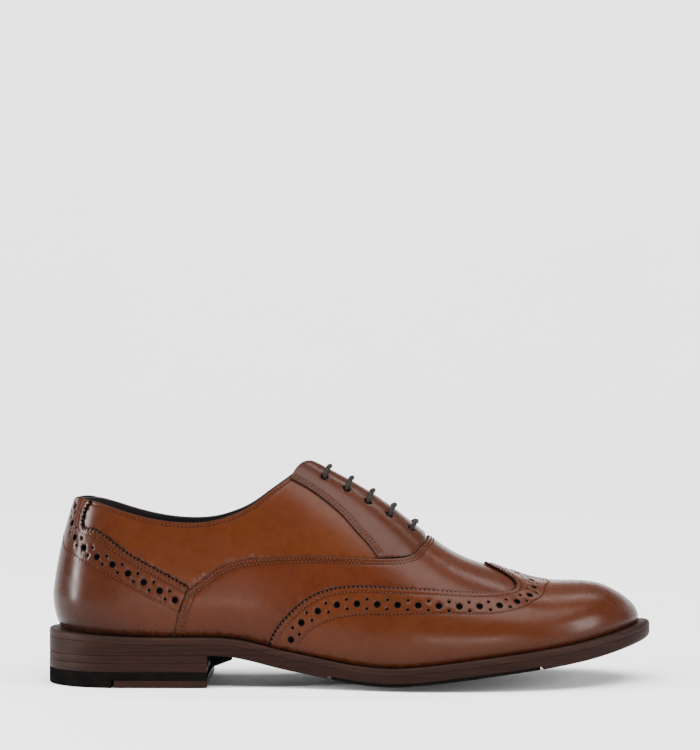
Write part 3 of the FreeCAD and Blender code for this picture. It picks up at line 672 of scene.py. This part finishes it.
LAYERED = (0.04, 0.04, 1)  # grain drawn out along the layers
MATERIALS = {
    "quarter": polished_leather("quarter_leather", (63, 28, 9), (54, 23, 8), 0.0),
    "vamp": polished_leather("vamp_leather", (58, 24, 8), (50, 20, 7), 1.3),
    "cap": polished_leather("cap_leather", (62, 27, 9), (53, 23, 8), 2.1),
    "counter": polished_leather("counter_leather", (61, 27, 10), (51, 22, 9), 3.7),
    "facing": polished_leather("facing_leather", (51, 21, 8), (43, 18, 7), 4.9),
    "thread": plain("thread", (78, 37, 16), (60, 27, 12), 900, 0.75, 0.4, 0.0001, specular=0.05),
    "lining": plain("lining_leather", (24, 18, 16), (15, 12, 11), 60, 0.65, 0.3, 0.0003, grain=900),
    "suede": plain("suede", (34, 26, 20), (24, 18, 14), 400, 0.9, 0.5, 0.0003, Sheen_Weight=0.3),
    "board": plain("fibre_board", (100, 78, 52), (76, 58, 38), 300, 0.85, 0.3, 0.0003),
    "canvas": plain("backer_canvas", (140, 130, 110), (112, 102, 84), 700, 0.9, 0.5, 0.0003),
    "foam": plain("foam", (150, 142, 116), (120, 112, 90), 900, 0.95, 0.5, 0.0004),
    "cork": plain("cork", (104, 70, 40), (60, 38, 22), 420, 0.9, 0.6, 0.0006),
    "brass": plain("eyelet_brass", (120, 90, 44), (80, 60, 28), 300, 0.35, 0.1, 0.0001, Metallic=1.0),
    "steel": plain("steel", (120, 122, 126), (84, 86, 90), 200, 0.4, 0.15, 0.0001, Metallic=1.0),
    "plastic": plain("aglet_plastic", (30, 20, 16), (20, 14, 11), 200, 0.3, 0.1, 0.0001),
    "welt": plain("welt_leather", (34, 18, 12), (21, 11, 7), 700, 0.55, 0.3, 0.0002, LAYERED, specular=0.06),
    "sole": plain("sole_leather", (31, 15, 10), (18, 9, 6), 700, 0.55, 0.3, 0.0002, LAYERED, specular=0.05),
    "stack": plain("stack_leather", (32, 16, 11), (19, 10, 7), 760, 0.55, 0.35, 0.0002, LAYERED,
                   specular=0.05),
    "rubber": plain("rubber", (13, 12, 11), (8, 7, 7), 120, 0.85, 0.15, 0.0002, grain=700, specular=0.0),
    "lace": plain("waxed_lace", (26, 20, 16), (12, 9, 8), 900, 0.65, 0.3, 0.0001, specular=0.12),
    "paper": plain("studio_paper", (236, 236, 236), (232, 232, 232), 3, 0.9, 0.0, 0.0001),
}


# ---- lace ----
# Places of the tucked ends, from the lowest eyelet: how far up along the row of eyelets and down from it.
LATERAL_TUCK = [(4, 27), (20, 29.5), (38, 29), (50, 26), (54, 18), (50, 10), (38, 7.2), (25, 7.8), (12, 6)]
MEDIAL_TUCK = [(42, 5.5), (30, 7.6), (17, 7.2), (4, 9), (-1, 15), (0, 22), (8, 27), (22, 28.5), (36, 27.5)]
ROW_WAY, DOWN_WAY = (-0.86, 0.51), (-0.35, -0.94)
BAR_RISE = 0.35  # a bar's middle stands this much higher than its ends
CREST_AHEAD = 2.3  # and this far forward of its eyelets
CORD_STEP = 0.45  # length of one step of the cord's mesh
BRAID = 2.6  # how far the braid runs per turn


def lace_route():
    """Straight bars over the facings, steps under them, and both ends tucked beside the tongue."""
    def tucked(along, below, side):
        x = EYELETS[0][0] + ROW_WAY[0] * along + DOWN_WAY[0] * below
        z = EYELETS[0][1] + ROW_WAY[1] * along + DOWN_WAY[1] * below
        return upper([spot(x, z, side)], [LACE_IN])[0]

    def at(place, lift):
        return upper([place], [lift])[0]

    route = [tucked(along, below, LATERAL) for along, below in LATERAL_TUCK]
    for k, (x, z) in enumerate(EYELETS):
        first = LATERAL if k % 2 == 0 else MEDIAL
        a, b = np.array(spot(x, z, first)), np.array(spot(x, z, -first))
        crest = np.array(ridge(x + CREST_AHEAD, 0))
        route += [at(a, LACE_IN), at(a, LACE_OUT)]
        route += [at(place, LACE_OUT + BAR_RISE) for place in ((a + crest) / 2, crest, (b + crest) / 2)]
        route += [at(b, LACE_OUT), at(b, LACE_IN)]
    route += [tucked(along, below, MEDIAL) for along, below in MEDIAL_TUCK]
    return np.array(route)


def spline_points(route):
    """Points along the smooth curve that the route's points control."""
    curve = bpy.data.curves.new("route", "CURVE")
    curve.dimensions = "3D"
    curve.resolution_u = 16
    line = curve.splines.new("NURBS")
    line.points.add(len(route) - 1)
    for point, place in zip(line.points, route * MM):
        point.co = (*place, 1.0)
    line.order_u = 3
    line.use_endpoint_u = True
    holder = bpy.data.objects.new("route", curve)
    bpy.context.collection.objects.link(holder)
    bpy.context.view_layer.update()
    mesh = bpy.data.meshes.new_from_object(holder)
    points = np.array([v.co for v in mesh.vertices]) / MM
    bpy.data.objects.remove(holder)
    bpy.data.curves.remove(curve)
    bpy.data.meshes.remove(mesh)
    return points


def even(points, pitch):
    """Points spread evenly along a line in space."""
    lengths = lengths_along(points)
    s = np.arange(0, lengths[-1], pitch)
    return np.stack([np.interp(s, lengths, points[:, k]) for k in range(3)], axis=1)


def braided_cord(name, points, radius):
    """Round cord with the raised diamonds of a braid."""
    sides = 14
    runs = unit(np.gradient(points, axis=0))
    across = np.cross(runs[0], (0, 0, 1))
    verts = []
    for k, (point, run) in enumerate(zip(points, runs)):
        across = across - run * np.dot(across, run)
        across /= np.linalg.norm(across)
        other = np.cross(run, across)
        for j in range(sides):
            turn = 2 * math.pi * j / sides
            twist = 2 * math.pi * k * CORD_STEP / BRAID
            ply = max(math.cos(3 * turn - twist), math.cos(3 * turn + twist))
            size = radius * (0.93 + 0.07 * ply)
            verts.append(point + size * (math.cos(turn) * across + math.sin(turn) * other))
    return piece_from(name, verts, closed_tube_faces(len(points), sides), 60)


# ---- the upper's outlines ----
wing_line = both_sides(WING_EDGE, ridge(WING_PEAK, 0))
vamp_line = both_sides(VAMP_SEAM, ridge(THROAT, 0))
wing_cut = pinked(wing_line, TOOTH_PITCH, CAP_TOOTH)
vamp_cut = walk(vamp_line, 1.3)
fronts = {side: track(spots(COUNTER_FRONT, side)) for side in SIDES}
counter_edges = {side: track(spots(COUNTER_EDGE, side)) for side in SIDES}
tab_top = track([counter_edges[MEDIAL][-1], spot(*TAB_CORNER, MEDIAL), back(TOPLINE_BACK),
                 spot(*TAB_CORNER, LATERAL), counter_edges[LATERAL][-1]], 80)

cap_rim = walk(rim_arc(CAP_REAR, False), 1.6)
cap_outline = chain(cap_rim, wing_cut[::-1])
vamp_outline = chain(walk(rim_arc(VAMP_REAR, False), 1.6), walk(beside(fronts[MEDIAL], -COUNTER_GAP), 1.5),
                     vamp_cut[::-1], walk(beside(fronts[LATERAL], -COUNTER_GAP), 1.5)[::-1])


def counter_outline_with(teeth):
    """Closed outline of the heel counter, with the upper edges that teeth(side) gives."""
    return chain(walk(rim_arc(COUNTER_TIP, True), 1.6), walk(fronts[MEDIAL], 1.5), teeth(MEDIAL),
                 walk(tab_top, 1.2), teeth(LATERAL)[::-1], walk(fronts[LATERAL], 1.5)[::-1])


def counter_teeth(side):
    return pinked(counter_edges[side], TOOTH_PITCH, COUNTER_TOOTH * side)


def counter_tooth_tips(side):
    return walk(beside(counter_edges[side], COUNTER_TOOTH * side), 1.3)


counter_outline = counter_outline_with(counter_teeth)
# What the teeth reach over, notches and all: the leather beneath lies in their shadow.
counter_cover = counter_outline_with(counter_tooth_tips)
cap_cover = chain(cap_rim, walk(beside(wing_line, CAP_TOOTH + 0.05), 1.3)[::-1])


def punched(line, pitch):
    """Big round holes along a line, with a pair of small ones across it between each two."""
    centres = walk(line, pitch)
    between = (centres[:-1] + centres[1:]) / 2
    rings = [ring_of(centre, PUNCH, 14) for centre in centres]
    for distance in (-PUNCH_ASIDE, PUNCH_ASIDE):
        rings += [ring_of(centre, PUNCH_SMALL, 8) for centre in beside(between, distance)]
    return rings


# ---- the upper's pieces ----
def sew(name, rows, level, pitch=STITCH_PITCH):
    """Thread along the stitch rows of a panel."""
    thread = stitches(name, rows, level[1] + THREAD_LIFT, pitch)
    settle(thread, "thread", "upper_leather")


def build_cap():
    holes = punched(both_sides(WING_HOLES, ridge(HOLES_PEAK, 0)), CAP_PUNCH_PITCH)
    inner = walk(beside(wing_line, -CAP_ROW_IN), 1.0)
    outer = walk(both_sides(WING_ROW, ridge(ROW_PEAK, 0)), 1.0)
    cap = panel("toe_cap_leather", cap_outline, OVER, holes, [inner, outer])
    settle(cap, "cap", "upper_leather", "toe_cap")
    sew("toe_cap_stitches", [inner, outer], OVER)


def build_vamp():
    rows = [walk(beside(vamp_line, -distance), 1.0) for distance in VAMP_ROWS]
    for side in SIDES:
        rows += [walk(beside(fronts[side], side * distance), 1.0) for distance in FRONT_ROWS]
    vamp = panel("vamp_leather_piece", vamp_outline, OUTER, (), rows, covers=[cap_cover])
    settle(vamp, "vamp", "upper_leather", "vamp")
    sew("vamp_stitches", rows, OUTER)


def build_counter():
    holes = punched(both_sides(COUNTER_HOLES, back(COUNTER_HOLES_BACK)), COUNTER_PUNCH_PITCH)
    inner = [walk(beside(counter_edges[side], -COUNTER_ROW_IN * side), 1.0)[:-2] for side in SIDES]
    lower = walk(both_sides(COUNTER_ROW, back(COUNTER_ROW_BACK)), 1.0)
    counter = panel("heel_counter_leather", counter_outline, OUTER, holes, inner + [lower])
    settle(counter, "counter", "upper_leather", "heel_counter")
    sew("heel_counter_stitches", inner + [lower], OUTER)


def topline(side):
    """From the back seam to the top of the facing."""
    start = np.array(back(TOPLINE_BACK)) + (0, BACK_SPLIT * side)
    return track([start] + spots(TOPLINE, side) + [ridge(FACING_TOP, side * CENTRE_GAP)])


def centre_gap(x):
    """Half of the slit between the facings, which opens towards the throat."""
    return CENTRE_GAP + THROAT_GAP * np.clip((x - GAP_START) / GAP_SPAN, 0, 1) ** 2


def centre_edge(x_from, x_to, side):
    return track([ridge(x, side * centre_gap(x)) for x in np.linspace(x_from, x_to, 12)])


def build_quarter(side, word):
    centre = centre_edge(QUARTER_FRONT, FACING_TOP, side)
    start = np.array(back(QUARTER_BACK)) + (0, BACK_SPLIT * side)
    lower = track([start] + spots(QUARTER_LOWER, side) + [centre[0]])
    top = topline(side)
    outline = chain(walk(lower, 1.8), walk(centre, 1.4), walk(top, 1.3)[::-1])
    holes = [ring_of(place, LACE_HOLE_UNDER, 14) for place in spots(EYELETS, side)]
    row = beside(walk(top, 1.0), TOPLINE_ROW * side)[8:-6]
    covers = [vamp_outline, counter_cover]
    quarter = panel("quarter_leather_" + word, outline, UNDER, holes, [row], covers=covers)
    settle(quarter, "quarter", "upper_leather", "quarter_" + word)
    sew("topline_stitches_" + word, [row], UNDER, TOPLINE_PITCH)


def build_facing(side, word):
    rear = track(spots(FACING_EDGE, side))
    centre = centre_edge(THROAT - FACING_SHORT, FACING_TOP, side)
    seam = track([rear[-1]] + [spot(x, z + VAMP_CLEARANCE, side) for x, z in VAMP_SEAM[-2:]] + [centre[0]])
    top = np.array([centre[-1], rear[0]])
    outline = chain(walk(rear, 1.3), walk(seam, 1.3), walk(centre, 1.3), walk(top, 1.3))
    holes = [ring_of(place, LACE_HOLE, 16) for place in spots(EYELETS, side)]
    rows = [walk(beside(rear, -side * distance), 1.0)[1:-2] for distance in FACING_ROWS]
    facing = panel("facing_leather_" + word, outline, OUTER, holes, rows, spacing=1.4)
    settle(facing, "facing", "upper_leather", "facing_" + word)
    sew("facing_stitches_" + word, rows, OUTER)


def build_tongue():
    outer, inner = [track([ridge(x, side * width) for x, width in TONGUE_STATIONS]) for side in SIDES]
    outline = chain(walk(outer, 1.5), walk(inner, 1.5)[::-1])
    tongue = panel("tongue_leather", outline, TONGUE)
    settle(tongue, "facing", "upper_leather", "tongue", body="tongue")


def build_lace():
    points = even(spline_points(lace_route()), CORD_STEP)
    lace = braided_cord("lace_braid", points, LACE_RADIUS)
    settle(lace, "lace", "waxed_lace", "lace")


build_cap()
build_vamp()
build_counter()
for side, word in ((LATERAL, "lateral"), (MEDIAL, "medial")):
    build_quarter(side, word)
    build_facing(side, word)
build_tongue()
build_lace()

# ---- sole and heel ----
WELT_THICK, SOLE_THICK, TREAD_THICK, WELT_WIDTH = 3.4, 9.1, 1.5, 17.0
TREAD_REAR, TREAD_FRONT, TREAD_NOTCH = -11.0, 95.5, 1.6
HEEL_BREAST, BREAST_SET, BREAST_HOLLOW, BREAST_REACH = -70.2, 1.6, 2.6, 70.0
HEEL_LEVELS = [16.2, 12.3, 7.9, 3.8, 0.0]
TIP_JOIN, TIP_GAP, INSERT_LIFT = -119.0, 1.2, 0.4
WELT_JOINT = HEEL_BREAST + 2
WAIST_START, WAIST_SPAN = HEEL_BREAST - 6, 24.0
TOE_START, TOE_SPAN = 120.0, 28.0  # where the edges grow rounder towards the toe
WELT_ROUND, WELT_TOE_ROUND, SOLE_TOE_ROUND = 1.1, 2.4, 2.8
LAYER_ROUND = 0.32  # rounding of the edges where two layers meet
TREAD_ROUND, HEEL_TIP_ROUND = 0.6, 0.5
CROWN_REACH = 48.0  # half width over which the forepart is crowned
MESH_PITCH, MESH_CLEAR, MESH_STEP = 4.0, 1.5, 0.05  # of the flat faces, and about the tread's two steps
WELD = 0.002  # points closer than this are one
crown_depth = spline([(-154, 0), (-60, 0), (-30, 0.4), (22, 2.05), (70, 0.6), (110, 0), (154, 0)])


def sole_plan(margin):
    """Plan of the feather edge moved outwards, anticlockwise from the toe."""
    turn = np.linspace(0, 2 * math.pi, 1000, endpoint=False)
    rims = [np.stack([np.cos(turn + step), np.sin(turn + step)], axis=1) for step in (-0.01, 0.0, 0.01)]
    behind, here, ahead = [skin(rim) for rim in rims]
    along = ahead - behind
    out = unit(np.stack([along[:, 1], -along[:, 0]], axis=1))
    return here[:, :2] + out * margin(here[:, 0])[:, None]


def kept_run(plan, keep):
    """The unbroken run of a closed plan that is kept."""
    first = np.flatnonzero(keep & ~np.roll(keep, 1))[0]
    return np.roll(plan, -first, axis=0)[:keep.sum()]


def trimmed(plan, line, behind):
    """Plan on one side of a line x = line(y), closed along that line."""
    run = kept_run(plan, (plan[:, 0] < line(plan[:, 1])) == behind)
    y = np.linspace(run[-1, 1], run[0, 1], 60)
    return np.concatenate([run, np.stack([line(y), y], axis=1)])


def moved_in(plan, distance):
    """Closed plan moved inwards."""
    along = unit(np.roll(plan, -1, axis=0) - np.roll(plan, 1, axis=0))
    return plan + np.stack([-along[:, 1], along[:, 0]], axis=1) * np.reshape(distance, (-1, 1))


def crowned(height):
    """Height over the plan, crowned across the forepart."""
    return lambda plan: height(plan[:, 0]) - crown_depth(plan[:, 0]) * (1 - (plan[:, 1] / CROWN_REACH) ** 2)


def edge_rings(plan, bottom, top, lower_round, upper_round, shrink):
    """Rings from the underside round the edge to the upper side."""
    rings = []
    for surface, radius, sign in ((bottom, lower_round, 1), (top, upper_round, -1)):
        radius = np.broadcast_to(radius, len(plan))
        part = []
        for turn in np.linspace(0, math.pi / 2, 6):
            ring = shrink(plan, radius * (1 - math.sin(turn)))
            part.append(np.column_stack([ring, surface(ring) + sign * radius * (1 - math.cos(turn))]))
        rings += part[::sign]
    return rings


def sole_layer(name, plan, bottom, top, lower_round=LAYER_ROUND, upper_round=LAYER_ROUND):
    """Flat closed piece over a plan, with rounded edges."""
    rings = edge_rings(plan, bottom, top, lower_round, upper_round, moved_in)
    low, high = plan.min(axis=0), plan.max(axis=0)
    steps = [x + side * MESH_STEP for x in (TREAD_REAR, TREAD_FRONT) for side in (-1, 1)]
    columns = np.concatenate([np.arange(low[0], high[0], MESH_PITCH), steps])
    grid = np.stack(np.meshgrid(columns, np.arange(low[1], high[1], MESH_PITCH)), axis=2)
    shapes = [(np.concatenate(rings), tube_faces(len(rings), len(plan)))]
    for ring, surface, order in ((rings[0], bottom, -1), (rings[-1], top, 1)):
        fillers = grid.reshape(-1, 2)
        fillers = fillers[inside(fillers, moved_in(ring[:, :2], MESH_CLEAR))]
        flat, triangles = triangulate([ring[:, :2]], fillers, 1.0)
        triangles = [tuple(face[::order]) for face in triangles]
        shapes.append((np.column_stack([flat, surface(flat)]), triangles))
    piece = join_shapes(name, shapes)
    mesh = bmesh.new()
    mesh.from_mesh(piece.data)
    bmesh.ops.remove_doubles(mesh, verts=mesh.verts, dist=WELD * MM)
    mesh.to_mesh(piece.data)
    mesh.free()
    piece.data.set_sharp_from_angle(angle=math.radians(48))
    return piece


def toward_toe(x):
    return np.clip((x - TOE_START) / TOE_SPAN, 0, 1)


def welt_piece(name, side):
    """The strip round the sole's edge in front of its joint (side 1) or behind it (-1), with square ends."""
    outer, inner = sole_plan(sole_margin), sole_plan(lambda x: sole_margin(x) - WELT_WIDTH)
    for flank in SIDES:
        away = np.where(outer[:, 1] * flank < 0, np.inf, np.abs(outer[:, 0] - WELT_JOINT))
        outer[np.argmin(away), 0] = WELT_JOINT
    kept = (outer[:, 0] - WELT_JOINT) * side >= 0
    run, back_run = kept_run(outer, kept), kept_run(inner, kept)
    inward = (back_run - run) / WELT_WIDTH

    def shrink(plan, distance):
        return plan + inward * np.reshape(distance, (-1, 1))

    bottom, top = crowned(lambda x: welt_top(x) - WELT_THICK), crowned(welt_top)
    upper_round = WELT_ROUND + (WELT_TOE_ROUND - WELT_ROUND) * toward_toe(run[:, 0])
    rings = edge_rings(run, bottom, top, LAYER_ROUND, upper_round, shrink)
    rings.insert(0, np.column_stack([back_run, bottom(back_run)]))
    rings.append(np.column_stack([back_run, top(back_run)]))
    count, turns = len(run), len(rings)
    faces = []
    for k in range(turns):
        a, b = k * count, (k + 1) % turns * count
        faces += [(a + j, a + j + 1, b + j + 1, b + j) for j in range(count - 1)]
    faces.append(tuple(k * count for k in range(turns)))
    faces.append(tuple(k * count + count - 1 for k in reversed(range(turns))))
    return piece_from(name, np.concatenate(rings), faces)


def outsole_underside(x):
    """Flat over the heel, then a constant thickness under the welt."""
    blend = np.clip((x - WAIST_START) / WAIST_SPAN, 0, 1)
    blend = blend * blend * (3 - 2 * blend)
    return (1 - blend) * HEEL_LEVELS[0] + blend * (welt_top(x) - SOLE_THICK)


def in_tread(x):
    return (x > TREAD_REAR) & (x < TREAD_FRONT)


def straight(x):
    """Line across the plan at x."""
    return lambda y: np.full(len(y), x)


def build_sole():
    edge = sole_plan(sole_margin)
    settle(welt_piece("welt_strip", 1), "welt", "welt_leather", "welt")
    settle(welt_piece("heel_rand_strip", -1), "welt", "welt_leather", "heel_rand")

    bottom = crowned(lambda x: outsole_underside(x) + TREAD_THICK * in_tread(x))
    top = crowned(lambda x: welt_top(x) - WELT_THICK)
    lower_round = LAYER_ROUND + (SOLE_TOE_ROUND - LAYER_ROUND) * toward_toe(edge[:, 0])
    sole = sole_layer("outsole_leather", edge, bottom, top, lower_round)
    settle(sole, "sole", "sole_leather", "outsole")

    tread = trimmed(edge, straight(TREAD_FRONT - TREAD_NOTCH), True)
    tread = trimmed(tread, straight(TREAD_REAR + TREAD_NOTCH), False)
    rubber = sole_layer("forefoot_tread_rubber", tread, crowned(outsole_underside),
                        crowned(lambda x: outsole_underside(x) + TREAD_THICK), TREAD_ROUND)
    settle(rubber, "rubber", "rubber", "forefoot_tread")


def build_heel():
    def breast(y):
        return HEEL_BREAST - BREAST_SET + BREAST_HOLLOW * (y / BREAST_REACH) ** 2

    def level(z):
        return lambda plan: np.full(len(plan), z)

    block = trimmed(sole_plan(sole_margin), breast, True)
    names = ("heel_lift_upper", "heel_lift_lower", "heel_rubber")
    for name, high, low in zip(names, HEEL_LEVELS, HEEL_LEVELS[1:]):
        finish, slot = ("rubber", "rubber") if name == "heel_rubber" else ("stack", "sole_leather")
        lift = sole_layer(name + "_layer", block, level(low), level(high))
        settle(lift, finish, slot, name)
    base, under_rubber = HEEL_LEVELS[4], level(HEEL_LEVELS[3])
    tip = trimmed(block, straight(TIP_JOIN), True)
    tip = sole_layer("heel_tip_rubber", tip, level(base), under_rubber, HEEL_TIP_ROUND)
    settle(tip, "rubber", "rubber", "heel_tip")
    front = trimmed(block, straight(TIP_JOIN + TIP_GAP), False)
    front = sole_layer("heel_insert_leather", front, level(base + INSERT_LIFT), under_rubber, HEEL_TIP_ROUND)
    settle(front, "stack", "sole_leather", "heel_insert")


build_sole()
build_heel()

# ---- the rest keeps its CAD shape ----
FINISHES = {
    "breast_wedge": "rubber", "heel_nails": "steel", "cork_filler": "cork", "shank": "steel",
    "insole_board": "board", "footbed_foam": "foam", "sock_lining": "lining",
    "quarter_lining_lateral": "lining", "quarter_lining_medial": "lining",
    "side_backer_lateral": "canvas", "side_backer_medial": "canvas",
    "eyelets_lateral": "brass", "eyelets_medial": "brass", "toe_puff": "board", "heel_stiffener": "board",
    "vamp_lining": "lining", "heel_grip": "suede", "tongue_lining": "lining", "aglets": "plastic",
}
for node, finish in FINISHES.items():
    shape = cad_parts[node]
    shape.data.materials.clear()
    shape.data.materials.append(MATERIALS[finish])

# ---- stage ----
FLOOR_RADIUS, WALL_REACH, WALL_HEIGHT = 2.0, 1.3, 1.2
WALL_SPREAD = 0.45  # least sine of the directions in which the wall stands
ROOM_LIGHT = 0.33


def sweep():
    """Pale round floor with a wall curving up from it behind the shoe only."""
    around = 96
    turns = [2 * math.pi * j / around for j in range(around)]
    profile = [(FLOOR_RADIUS * share, 0.0) for share in (0.3, 0.6, 1.0)]
    for turn in np.linspace(0, math.pi / 2, 13)[1:]:
        reach, height = WALL_REACH * math.sin(turn), WALL_HEIGHT * (1 - math.cos(turn))
        profile.append((FLOOR_RADIUS + reach, height))
    verts = [(0.0, 0.0, 0.0)]
    faces = [(0, 1 + j, 1 + (j + 1) % around) for j in range(around)]
    for r, z in profile:
        verts += [(r * math.cos(a), r * math.sin(a), z) for a in turns]
    for k in range(len(profile) - 1):
        for j, a in enumerate(turns):
            if k < 2 or math.sin(a) > WALL_SPREAD:
                first, second = 1 + k * around + j, 1 + k * around + (j + 1) % around
                faces.append((first, first + around, second + around, second))
    mesh = bpy.data.meshes.new("studio_floor")
    mesh.from_pydata(verts, [], faces)
    mesh.update()
    mesh.shade_smooth()
    floor = bpy.data.objects.new("studio_floor", mesh)
    bpy.context.collection.objects.link(floor)
    mesh.materials.append(MATERIALS["paper"])


def softbox(name, place, aim, size, power):
    lamp = bpy.data.lights.new(name, "AREA")
    lamp.shape = "RECTANGLE"
    lamp.size, lamp.size_y = size
    lamp.energy = power
    box = bpy.data.objects.new(name, lamp)
    box.location = place
    box.rotation_euler = (Vector(aim) - Vector(place)).to_track_quat("-Z", "Y").to_euler()
    bpy.context.collection.objects.link(box)


sweep()
softbox("overhead", (0, -0.75, 2.1), (0, 0, 0), (3.2, 1.7), 178)
softbox("low_strip", (0.35, -1.7, 0.1), (0.05, 0, 0.03), (1.3, 0.09), 16)
softbox("backdrop_light", (0, 1.2, 2.2), (0, 3.0, 0.5), (3.0, 0.6), 140)
softbox("left_strip", (-1.5, -0.35, 0.35), (-0.1, 0, 0.05), (0.14, 0.9), 62)
softbox("right_strip", (1.5, -0.6, 0.5), (0.1, 0, 0.05), (0.3, 0.8), 32)
world = bpy.data.worlds.new("room")
world.use_nodes = True
background = world.node_tree.nodes["Background"]
background.inputs["Color"].default_value = (1, 1, 1, 1)
background.inputs["Strength"].default_value = ROOM_LIGHT
bpy.context.scene.world = world

# ---- camera ----
CAMERA_DISTANCE, CAMERA_HEIGHT = 1.25, 0.1562
FOCAL_LENGTH, SENSOR = 117.07, 36
lens = bpy.data.cameras.new("camera")
lens.lens = FOCAL_LENGTH
lens.sensor_width = SENSOR
lens.sensor_fit = "AUTO"
camera = bpy.data.objects.new("camera", lens)
camera.location = (0, -CAMERA_DISTANCE, CAMERA_HEIGHT)
camera.rotation_euler = (math.pi / 2, 0, 0)
bpy.context.collection.objects.link(camera)
bpy.context.scene.camera = camera
